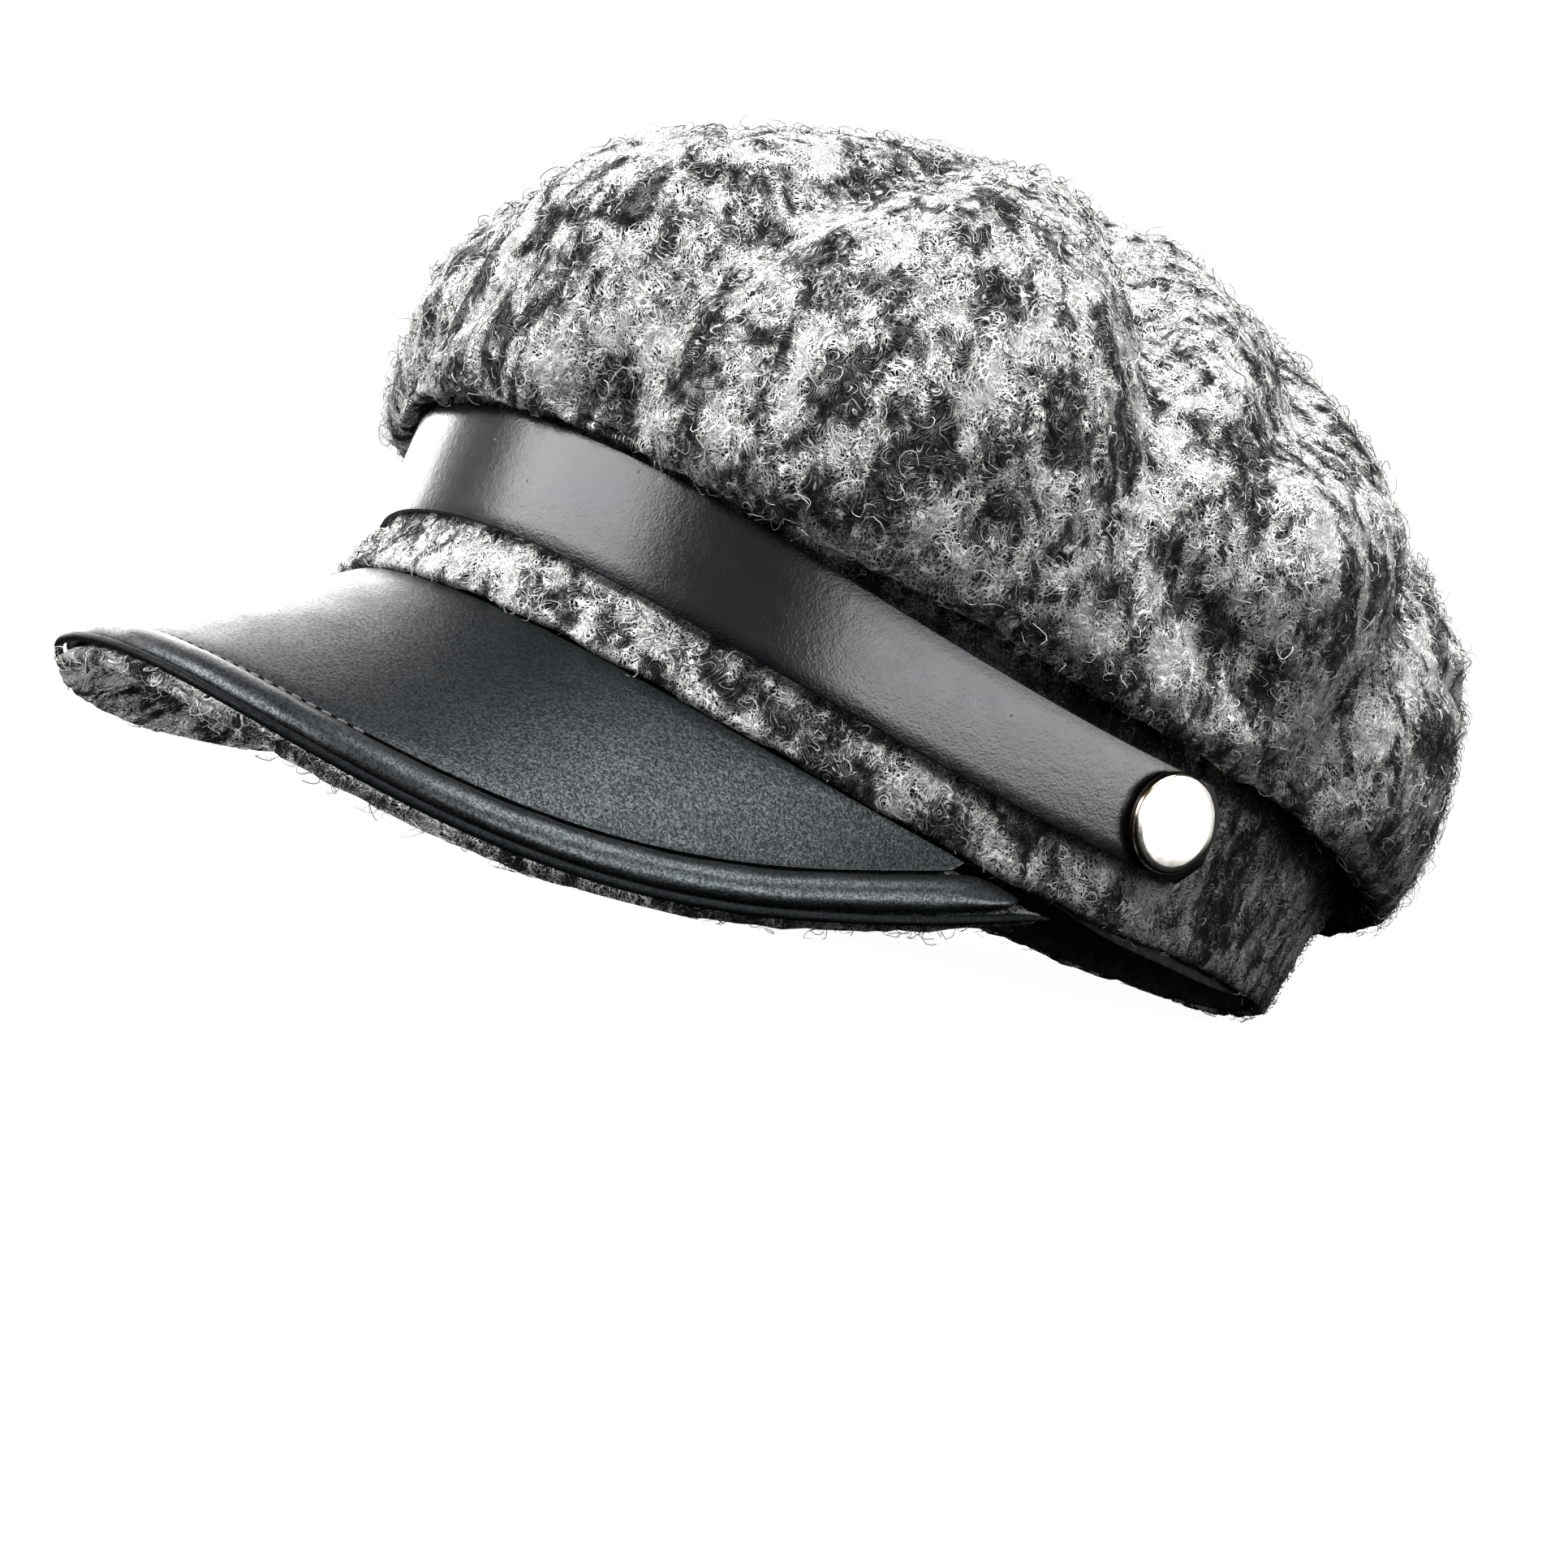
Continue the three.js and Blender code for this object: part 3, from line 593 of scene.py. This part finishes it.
def neighbours_tree(*names):
    """The surface of several solids, for finding what is near."""
    points = []
    faces = []
    for name in names:
        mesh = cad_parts[name].data
        start = len(points)
        points += [v.co.copy() for v in mesh.vertices]
        faces += [[start + i for i in face.vertices] for face in mesh.polygons]
    return BVHTree.FromPolygons(points, faces)


# Folds


def crease_paths(surface):
    """Each crease as a line of points on the crown's outside."""
    middle = above_rim(CROWN_MIDDLE)
    paths = []
    for crease in CREASES:
        (a0, e0), (a1, e1), (a2, e2) = crease["through"]
        a1 -= 360 * round((a1 - a0) / 360)
        a2 -= 360 * round((a2 - a0) / 360)
        path = []
        for i in range(13):
            t = i / 12
            weights = ((1 - t) * (1 - 2 * t), 4 * t * (1 - t), t * (2 * t - 1))
            turn = math.radians(sum(w * a for w, a in zip(weights, (a0, a1, a2))))
            up = math.radians(sum(w * e for w, e in zip(weights, (e0, e1, e2))))
            way = Vector((math.sin(turn) * math.cos(up), -math.cos(turn) * math.cos(up), math.sin(up)))
            way = REST.to_3x3() @ way
            start = middle + way * 0.2
            hit = surface.ray_cast(start, -way)[0]
            if hit is None:
                raise RuntimeError("a crease misses the crown")
            path.append(hit)
        paths.append(np.array(path))
    return paths


def press_creases(piece, surface):
    """Presses the creases into the crown, deepest in the middle of each."""
    mesh = piece.data
    points = np.array([v.co for v in mesh.vertices])
    normals = np.array([v.normal for v in mesh.vertices])
    # The inside's normals point into the hollow, and both sides of the cloth sink the same way.
    outwards = points - np.array(above_rim(CROWN_MIDDLE))
    normals *= np.sign((normals * outwards).sum(1))[:, None]
    sunk = np.zeros(len(points))
    for crease, path in zip(CREASES, crease_paths(surface)):
        best = np.full(len(points), np.inf)
        share = np.zeros(len(points))
        for i in range(len(path) - 1):
            start = path[i]
            span = path[i + 1] - start
            t = np.clip((points - start) @ span / (span @ span), 0, 1)
            apart = np.linalg.norm(points - start - t[:, None] * span, axis=1)
            nearer = apart < best
            best[nearer] = apart[nearer]
            share[nearer] = (i + t[nearer]) / (len(path) - 1)
        fade = np.clip(4 * share, 0, 1) * np.clip(4 * (1 - share), 0, 1)
        sunk += crease["depth"] * np.exp(-((best / (crease["width"] * MM)) ** 2)) * fade
    sunk = np.minimum(sunk, DEEPEST)
    # The crown's turned-in edge keeps clear of the band.
    band = neighbours_tree("band", "strap")
    spare = np.array([band.find_nearest(Vector(point))[3] for point in points]) / MM
    sunk *= np.clip((spare - 1) / 6, 0, 1)
    moved = points - normals * sunk[:, None] * MM
    mesh.vertices.foreach_set("co", moved.ravel())
    mesh.update()


# Nap


def mark_nap(piece, neighbours, clear, share_at):
    """Says where curls grow: on the outside, and not where something lies over the wool."""
    mesh = piece.data
    layer = mesh.attributes.new("nap", "FLOAT", "POINT")
    values = []
    for vertex in mesh.vertices:
        start = vertex.co + vertex.normal * 0.02 * MM
        free = neighbours.ray_cast(start, vertex.normal, clear * MM)[0] is None
        near = neighbours.find_nearest(vertex.co, 1.1 * MM)[0] is not None
        values.append(share_at(vertex) if free and not near else 0.0)
    layer.data.foreach_set("value", values)


def curl_tree(name, curl, per_area, seed, finish):
    """Geometry nodes that grow one kind of curl all over a surface, a fibre at a time."""
    tree = bpy.data.node_groups.new(name, "GeometryNodeTree")
    for way in ("INPUT", "OUTPUT"):
        tree.interface.new_socket("Geometry", in_out=way, socket_type="NodeSocketGeometry")
    start = node(tree, "NodeGroupInput")
    nap = node(tree, "GeometryNodeInputNamedAttribute", {"Name": "nap"}, data_type="FLOAT")
    density = math_of(tree, "MULTIPLY", nap.outputs[0], per_area)
    roots = node(
        tree,
        "GeometryNodeDistributePointsOnFaces",
        {"Mesh": start.outputs[0], "Density": density, "Seed": seed},
        distribute_method="RANDOM",
    )
    place = node(tree, "GeometryNodeInputPosition").outputs[0]
    patches = wool_patches(tree, place)
    chance = ramp_of(tree, patches, 0.0, 1.0, 0.15, 0.88)
    drawn = node(tree, "FunctionNodeRandomValue", {2: 0.0, 3: 1.0, "Seed": seed + 1}, data_type="FLOAT")
    is_light = math_of(tree, "LESS_THAN", drawn.outputs[1], chance)
    vary = node(tree, "FunctionNodeRandomValue", {2: 0.6, 3: 1.1, "Seed": seed + 2}, data_type="FLOAT")
    shade = math_of(tree, "MULTIPLY_ADD", is_light, 0.8, 0.02)
    dimmed = math_of(tree, "MULTIPLY", shade, vary.outputs[1])
    tint = node(
        tree,
        "GeometryNodeStoreNamedAttribute",
        {"Geometry": roots.outputs["Points"], "Name": "tint", "Value": dimmed},
        data_type="FLOAT",
        domain="POINT",
    )
    spiral = node(
        tree,
        "GeometryNodeCurveSpiral",
        {
            "Resolution": 10,
            "Rotations": curl["turns"],
            "Start Radius": curl["radius"] * MM,
            "End Radius": 0.72 * curl["radius"] * MM,
            "Height": curl["rise"] * MM,
        },
    )
    lifted = node(
        tree,
        "GeometryNodeTransform",
        {"Geometry": spiral.outputs[0], "Translation": (0.4 * curl["radius"] * MM, 0, -0.15 * MM)},
    )
    lean = node(
        tree,
        "FunctionNodeRandomValue",
        {0: (-0.75, -0.75, 0.0), 1: (0.75, 0.75, 2 * math.pi), "Seed": seed + 3},
        data_type="FLOAT_VECTOR",
    )
    turned = node(
        tree,
        "FunctionNodeRotateRotation",
        {"Rotation": roots.outputs["Rotation"], "Rotate By": lean.outputs[0]},
        rotation_space="LOCAL",
    )
    size = node(tree, "FunctionNodeRandomValue", {2: 0.7, 3: 1.3, "Seed": seed + 4}, data_type="FLOAT")
    grown = node(
        tree,
        "GeometryNodeInstanceOnPoints",
        {
            "Points": tint.outputs[0],
            "Instance": lifted.outputs[0],
            "Rotation": turned.outputs[0],
            "Scale": size.outputs[1],
        },
    )
    real = node(tree, "GeometryNodeRealizeInstances", {"Geometry": grown.outputs[0]})
    # No two curls are bent alike: a noise 3.4 mm wide moves them by up to 1.3 mm.
    wander = node(
        tree,
        "ShaderNodeTexNoise",
        {"Vector": place, "Scale": 1 / (3.4 * MM), "Detail": 0.0},
    )
    centred = node(
        tree,
        "ShaderNodeVectorMath",
        {0: wander.outputs["Color"], 1: [0.5] * 3},
        operation="SUBTRACT",
    )
    offset = node(
        tree,
        "ShaderNodeVectorMath",
        {0: centred.outputs[0], 1: [2.6 * MM] * 3},
        operation="MULTIPLY",
    )
    bent = node(tree, "GeometryNodeSetPosition", {"Geometry": real.outputs[0], "Offset": offset.outputs[0]})
    # Where a curl reaches the floor it lies on it.
    above = node(
        tree,
        "ShaderNodeVectorMath",
        {0: place, 1: (-1, -1, 0.12 * MM)},
        operation="MAXIMUM",
    )
    laid = node(tree, "GeometryNodeSetPosition", {"Geometry": bent.outputs[0], "Position": above.outputs[0]})
    along = node(tree, "GeometryNodeSplineParameter").outputs["Factor"]
    thin = ramp_of(tree, along, 0.55, 1.0, 1.0, 0.35)
    ring = node(
        tree,
        "GeometryNodeCurvePrimitiveCircle",
        {"Resolution": 3, "Radius": curl["thick"] / 2 * MM},
    )
    tube = node(
        tree,
        "GeometryNodeCurveToMesh",
        {"Curve": laid.outputs[0], "Profile Curve": ring.outputs[0], "Scale": thin, "Fill Caps": True},
    )
    dressed = node(tree, "GeometryNodeSetMaterial", {"Geometry": tube.outputs[0], "Material": finish})
    node(tree, "NodeGroupOutput", {0: dressed.outputs[0]})
    return tree


def grow_curls(name, ground, kind, count, seed, finish):
    """A piece of loose curls on a ground that has its nap marked."""
    mesh = ground.data
    nap = mesh.attributes["nap"].data
    area = 0.0
    for face in mesh.polygons:
        area += face.area * sum(nap[i].value for i in face.vertices) / len(face.vertices)
    piece = bpy.data.objects.new(name, mesh.copy())
    bpy.context.scene.collection.objects.link(piece)
    made = piece.modifiers.new("nap", "NODES")
    made.node_group = curl_tree(name, CURLS[kind], wool().nap * count / area, seed, finish)
    settle(piece)
    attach(piece, "root")
    return piece


# Operators


class CAP_OT_crown(bpy.types.Operator):
    """Make the folded crown and its nap"""

    bl_idname = "cap.crown"
    bl_label = "Crown"

    def execute(self, context):
        bm = solid_copy("crown")
        crown = place_piece("crown_wool", bm, boiled_wool(), "wool", "crown")
        soften(crown, 2)
        press_creases(crown, neighbours_tree("crown"))
        roughen(crown, ((14, 1.1), (5, 0.7), (2.2, 0.3)))
        around = neighbours_tree("band", "strap", "snap_left", "snap_right")
        inside = neighbours_tree("crown")
        middle = above_rim(CROWN_MIDDLE)

        def outer(vertex):
            out = vertex.co - middle
            if vertex.normal.dot(out) <= 0:
                return 0.0
            hit = inside.ray_cast(vertex.co + vertex.normal * 1.2 * MM, vertex.normal, 14 * MM)[0]
            return 1.0 if hit is None else 0.25

        mark_nap(crown, around, 6, outer)
        finish = wool_fibre()
        for i, kind in enumerate(CURLS):
            grow_curls(f"crown_curls_{kind}", crown, kind, CURLS[kind]["count"], 11 * i + 3, finish)
        return {"FINISHED"}


class CAP_OT_band(bpy.types.Operator):
    """Make the wool band and the sweatband inside it"""

    bl_idname = "cap.band"
    bl_label = "Band"

    def execute(self, context):
        bm = solid_copy("band")
        cut_long_edges(bm, 12)
        band = place_piece("band_wool", bm, bpy.data.materials["boiled_wool"], "wool", "band")
        soften(band, 2)
        roughen(band, ((9, 0.5), (4, 0.5), (2, 0.25)))
        around = neighbours_tree("crown", "strap", "snap_left", "snap_right", "sweatband", "peak_top")
        middle = above_rim(BAND_MIDDLE)

        def outer(vertex):
            out = (vertex.co - middle).normalized()
            return 1.0 if vertex.normal.dot(out) > 0.15 else 0.0

        mark_nap(band, around, 4, outer)
        finish = bpy.data.materials["wool_fibre"]
        grow_curls("band_curls_short", band, "short", 1500, 71, finish)
        grow_curls("band_curls_middle", band, "middle", 1500, 83, finish)
        tape = place_piece("sweatband_tape", solid_copy("sweatband", 40), twill_tape(), "lining", "sweatband")
        soften(tape, 2)
        return {"FINISHED"}


class CAP_OT_strap(bpy.types.Operator):
    """Make the leather strap across the front"""

    bl_idname = "cap.strap"
    bl_label = "Strap"

    def execute(self, context):
        # At the snap caps a degree round the oval is this long, in millimetres.
        degree = math.pi / 180 * BAND_HALF_LENGTH
        end = SNAP_ANGLE + STRAP_PAST_SNAP / degree
        corner = STRAP_CORNER / degree
        bm = bmesh.new()
        bmesh.ops.create_grid(bm, x_segments=STRAP_COLUMNS, y_segments=6, size=1.0)
        last = 1 - 2 / STRAP_COLUMNS
        for vertex in bm.verts:
            side = math.copysign(1, vertex.co.x)
            share = abs(vertex.co.x)
            at_end = share > last + 1e-6
            degrees = end if at_end else (end - corner) * share / last
            narrowing = smooth(degrees, 20, SNAP_ANGLE)
            width = STRAP_WIDTH + (STRAP_END_WIDTH - STRAP_WIDTH) * narrowing
            if at_end:
                width -= 2 * STRAP_CORNER
            middle = STRAP_BOTTOM + STRAP_WIDTH / 2
            middle += (SNAP_HEIGHT - middle) * narrowing
            height = middle + vertex.co.y * width / 2
            # The face is crowned a little, and its long edges lie closer to the wool.
            crowned = -0.25 * vertex.co.y**2
            vertex.co = REST @ band_point(side * degrees, height, GAP + STRAP_WALL + crowned)
        bmesh.ops.recalc_face_normals(bm, faces=bm.faces)
        outward = REST.to_3x3() @ band_normal(0)
        front = min(bm.faces, key=lambda face: face.calc_center_median().y)
        if front.normal.dot(outward) < 0:
            bmesh.ops.reverse_faces(bm, faces=bm.faces)
        bmesh.ops.solidify(bm, geom=bm.faces, thickness=STRAP_WALL * MM)
        sharp = [e for e in bm.edges if e.is_manifold and e.calc_face_angle() > math.radians(60)]
        bmesh.ops.bevel(
            bm,
            geom=sharp,
            offset=0.28 * MM,
            segments=3,
            profile=0.5,
            affect="EDGES",
            material=-1,
            clamp_overlap=True,
        )
        cut = bm.verts.layers.float.new("cut")
        for vertex in bm.verts:
            local = REST.inverted() @ vertex.co
            turn = math.degrees(math.atan2(local.x / BAND_HALF_WIDTH, -local.y / BAND_HALF_LENGTH))
            out = REST.to_3x3() @ band_normal(turn)
            vertex[cut] = 1.0 if abs(vertex.normal.dot(out)) < 0.6 else 0.0
        strap = place_piece("strap_leather", bm, coated_leather(), "strap_leather", "strap")
        check_fit(strap, "strap", 0.8)
        return {"FINISHED"}


class CAP_OT_snaps(bpy.types.Operator):
    """Make the two metal snap caps"""

    bl_idname = "cap.snaps"
    bl_label = "Snap caps"

    def execute(self, context):
        finish = polished_nickel()
        for side, name in ((1, "snap_left"), (-1, "snap_right")):
            bm = bmesh.new()
            points = [bm.verts.new((r * MM, 0, z * MM)) for r, z in SNAP_FACE + SNAP_EDGE + SNAP_BACK]
            lines = [bm.edges.new(pair) for pair in zip(points, points[1:])]
            bmesh.ops.spin(
                bm,
                geom=points + lines,
                cent=(0, 0, 0),
                axis=(0, 0, 1),
                angle=2 * math.pi,
                steps=72,
                use_merge=True,
            )
            bmesh.ops.remove_doubles(bm, verts=bm.verts, dist=0.001 * MM)
            bmesh.ops.recalc_face_normals(bm, faces=bm.faces)
            # The turned edge, which the finish colours darker and warmer: tarnish and painted shade.
            cut = bm.verts.layers.float.new("cut")
            for vertex in bm.verts:
                out = math.hypot(vertex.co.x, vertex.co.y) / MM
                vertex[cut] = smooth(out, 7.6, 8.7)
            way = band_normal(side * SNAP_ANGLE)
            seat = band_point(side * SNAP_ANGLE, SNAP_HEIGHT, 0) + way * (2 * GAP + STRAP_WALL) * MM
            turn = way.to_track_quat("Z", "Y").to_matrix().to_4x4()
            bmesh.ops.transform(bm, matrix=REST @ Matrix.Translation(seat) @ turn, verts=bm.verts)
            cap = place_piece(f"{name}_cap", bm, finish, "nickel", name)
            low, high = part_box(name)
            centre = sum((v.co for v in cap.data.vertices), Vector()) / len(cap.data.vertices)
            if (centre - (Vector(low) + Vector(high)) / 2).length > 4 * MM:
                raise RuntimeError(f"{name} isn't on its solid")
        return {"FINISHED"}


class CAP_OT_peak(bpy.types.Operator):
    """Make the peak: leather top, rolled binding, piping, seam and wool underside"""

    bl_idname = "cap.peak"
    bl_label = "Peak"

    def execute(self, context):
        # Each leather's name, the size of its bumps and their depth, its roughness and how much it shines.
        pebbled = pebbled_leather("pebbled_peak_leather", 0.5 * MM, 0.1 * MM, 0.33, 0.27)
        rolled = pebbled_leather("rolled_peak_leather", 0.45 * MM, 0.03 * MM, 0.34, 0.42)
        # The piping's leather is a duller copy of the roll's: its low shine is painted shade where it lies
        # under the rolled binding.
        shaded_cord_leather = pebbled_leather("piping_leather_shaded", 0.45 * MM, 0.05 * MM, 0.5, 0.06)
        top = place_piece("peak_leather", solid_copy("peak_top", 40), pebbled, "peak_leather", "peak_top")
        soften(top, 2)
        round_edges(top, 0.3 * MM)
        binding = place_piece("peak_roll", solid_copy("peak_binding"), rolled, "peak_leather", "peak_binding")
        soften(binding, 2)
        roughen(binding, ((7, 0.18), (2.5, 0.1)))
        piping = place_piece("peak_cord", solid_copy("peak_piping"), shaded_cord_leather, "peak_leather", "peak_piping")
        soften(piping, 2)
        bm = solid_copy("peak_underside")
        cut_long_edges(bm, 12)
        wool_side = place_piece("peak_wool", bm, bpy.data.materials["boiled_wool"], "wool", "peak_underside")
        soften(wool_side, 2)
        roughen(wool_side, ((8, 0.4), (3.5, 0.35), (1.8, 0.2)))
        around = neighbours_tree("peak_top", "peak_binding", "peak_piping", "band", "sweatband")
        mark_nap(wool_side, around, 5, lambda vertex: 1.0)
        finish = bpy.data.materials["wool_fibre"]
        grow_curls("peak_curls_middle", wool_side, "middle", 1300, 97, finish)
        grow_curls("peak_curls_long", wool_side, "long", 500, 113, finish)
        self.sew()
        return {"FINISHED"}

    def sew(self):
        """Lays the seam's stitches in the groove between the leather and its rolled binding."""
        roll = neighbours_tree("peak_binding")
        bm = solid_copy("peak_top")
        bm.normal_update()
        line = []
        for vertex in bm.verts:
            near = roll.find_nearest(vertex.co, 1.0 * MM)[0]
            if near is not None and vertex.normal.z > 0.1:
                line.append(((vertex.co + near) / 2, vertex.normal.copy()))
        bm.free()
        # Sorted by their way round a point under the peak's root.
        middle = REST @ Vector((0, -70 * MM, 0))
        line.sort(key=lambda item: math.atan2(item[0].x - middle.x, -(item[0].y - middle.y)))
        seam = bmesh.new()
        left = 0.0
        pitch = leather().stitch
        for (a, up), (b, _) in zip(line, line[1:]):
            run = b - a
            length = run.length
            if length < 1e-6 or length > 30 * MM:
                continue
            while left < length:
                spot = a + run * (left / length)
                frame_x = run.normalized()
                frame_y = up.cross(frame_x).normalized()
                frame_z = frame_x.cross(frame_y)
                turn = Matrix((frame_x, frame_y, frame_z)).transposed().to_4x4()
                stretch = Matrix.Diagonal((pitch * 0.36, 0.3 * MM, 0.24 * MM, 1))
                spot = spot - up * 0.12 * MM
                bmesh.ops.create_uvsphere(
                    seam,
                    u_segments=8,
                    v_segments=6,
                    radius=1.0,
                    matrix=Matrix.Translation(spot) @ turn @ stretch,
                )
                left += pitch
            left -= length
        place_piece("peak_seam", seam, sewing_thread(), "peak_leather")


class CAP_OT_stage(bpy.types.Operator):
    """Set the floor, the lamps and the camera"""

    bl_idname = "cap.stage"
    bl_label = "Stage"

    def execute(self, context):
        settings = context.scene.cap_stage
        bm = bmesh.new()
        bmesh.ops.create_circle(bm, cap_ends=True, segments=96, radius=6.0)
        mesh = bpy.data.meshes.new("studio_floor")
        bm.to_mesh(mesh)
        bm.free()
        for face in mesh.polygons:
            face.use_smooth = True
        mesh.materials.append(opal_acrylic())
        floor = bpy.data.objects.new("studio_floor", mesh)
        context.scene.collection.objects.link(floor)
        # The cap takes no light from the floor, as in the photograph it is far from any.
        floor.visible_diffuse = False
        floor.visible_glossy = False
        self.light(context, settings.light)
        self.aim(context, settings.elevation)
        return {"FINISHED"}

    def light(self, context, strength):
        """Soft lamps that light the wool, and cards that only show in the gloss."""
        # Each lamp's name, angle from the front, height and distance of its middle, the height that it faces,
        # its width, its height, its brightness, and whether it lights matt surfaces and shows in glossy ones.
        lamps = (
            ("softbox_top", 20, 1.35, 0.47, 0.06, 1.0, 1.0, 23.0, True, False),
            ("fill_left", -65, 0.30, 1.20, 0.06, 1.0, 0.5, 18.0, True, False),
            ("fill_side", 118, 0.80, 1.10, 0.06, 0.8, 0.8, 3.2, True, False),
            ("table_low", -15, 0.001, 0.17, 2.0, 0.36, 0.26, 0.8, True, False),
            ("card_top", 80, 1.30, 0.50, 0.06, 1.1, 0.9, 15.0, False, True),
            ("card_edge", -98, 0.30, 1.40, 0.06, 1.1, 0.6, 10.0, False, True),
            ("card_left", -18, 0.50, 1.40, 0.06, 1.25, 0.8, 18.0, False, True),
            ("card_right", 92, 0.42, 1.40, 0.06, 2.4, 0.7, 9.0, False, True),
            ("card_low", 92, 0.20, 1.40, 0.06, 2.4, 0.4, 9.0, False, True),
            ("card_high", -105, 1.00, 1.20, 0.06, 0.9, 0.8, 4.0, False, True),
        )
        for name, turn, height, distance, faces, wide, tall, brightness, matt, gloss in lamps:
            data = bpy.data.lights.new(name, "AREA")
            data.shape = "RECTANGLE"
            data.size = wide
            data.size_y = tall
            data.energy = brightness * math.pi * wide * tall * strength
            lamp = bpy.data.objects.new(name, data)
            turn = math.radians(turn)
            lamp.location = (distance * math.sin(turn), -distance * math.cos(turn), height)
            lamp.rotation_euler = (lamp.location - Vector((0, 0, faces))).to_track_quat("Z", "Y").to_euler()
            lamp.visible_camera = False
            lamp.visible_diffuse = matt
            lamp.visible_glossy = gloss
            context.scene.collection.objects.link(lamp)
        world = bpy.data.worlds.new("studio")
        world.use_nodes = True
        tree = world.node_tree
        way = node(tree, "ShaderNodeTexCoord").outputs["Generated"]
        up = node(tree, "ShaderNodeSeparateXYZ", {0: way}).outputs["Z"]
        # White behind the cap, dim overhead and dark below.
        above = ramp_of(tree, up, 0.36, 0.5, 1.05 * strength, 0.3 * strength)
        below = ramp_of(tree, up, -0.08, -0.02)
        glow = math_of(tree, "MULTIPLY", above, below)
        tree.links.new(glow, tree.nodes["Background"].inputs["Strength"])
        tree.nodes["Background"].inputs["Color"].default_value = (1, 1, 1, 1)
        context.scene.world = world
        # The lamps alone light what is matt.
        world.cycles_visibility.diffuse = False
        context.scene.view_settings.view_transform = "Standard"

    def aim(self, context, elevation):
        """A camera at the photograph's side of the cap and its roll, from just above the floor."""
        azimuth = math.radians(53.2)
        roll = math.radians(15.6)
        distance = 704.45 * MM
        pixels_of_lens = 4500
        image_width = 1932
        flat = math.cos(elevation)
        back = Vector((math.sin(azimuth) * flat, -math.cos(azimuth) * flat, math.sin(elevation)))
        level = Vector((math.cos(azimuth), math.sin(azimuth), 0))
        upright = back.cross(level)
        right = level * math.cos(roll) + upright * math.sin(roll)
        up = upright * math.cos(roll) - level * math.sin(roll)
        target = Vector((-10.6, 15.3, 22.2)) * MM
        data = bpy.data.cameras.new("camera")
        data.sensor_width = 36
        data.lens = data.sensor_width * pixels_of_lens / image_width
        data.clip_start = 0.02
        camera = bpy.data.objects.new("camera", data)
        turn = Matrix((right, up, back)).transposed().to_4x4()
        camera.matrix_world = Matrix.Translation(target + back * distance) @ turn
        context.scene.collection.objects.link(camera)
        context.scene.camera = camera


class CAP_PT_sidebar(bpy.types.Panel):
    """The cap's pieces and settings"""

    bl_idname = "CAP_PT_sidebar"
    bl_label = "Baker boy cap"
    bl_space_type = "VIEW_3D"
    bl_region_type = "UI"
    bl_category = "Cap"

    def draw(self, context):
        for group in (context.scene.cap_wool, context.scene.cap_leather, context.scene.cap_stage):
            box = self.layout.box()
            for name in group.bl_rna.properties.keys():
                if name not in ("rna_type", "name"):
                    box.prop(group, name)
        for operator in OPERATORS:
            self.layout.operator(operator.bl_idname)


OPERATORS = (CAP_OT_stage, CAP_OT_crown, CAP_OT_band, CAP_OT_strap, CAP_OT_snaps, CAP_OT_peak)
CLASSES = (CapWool, CapLeather, CapStage, *OPERATORS, CAP_PT_sidebar)


def register():
    for made in CLASSES:
        bpy.utils.register_class(made)
    bpy.types.Scene.cap_wool = bpy.props.PointerProperty(type=CapWool)
    bpy.types.Scene.cap_leather = bpy.props.PointerProperty(type=CapLeather)
    bpy.types.Scene.cap_stage = bpy.props.PointerProperty(type=CapStage)


def unregister():
    del bpy.types.Scene.cap_wool
    del bpy.types.Scene.cap_leather
    del bpy.types.Scene.cap_stage
    for made in reversed(CLASSES):
        bpy.utils.unregister_class(made)


def main():
    register()
    bpy.ops.cap.stage()
    bpy.ops.cap.crown()
    bpy.ops.cap.band()
    bpy.ops.cap.strap()
    bpy.ops.cap.snaps()
    bpy.ops.cap.peak()


if __name__ == "__main__":
    main()
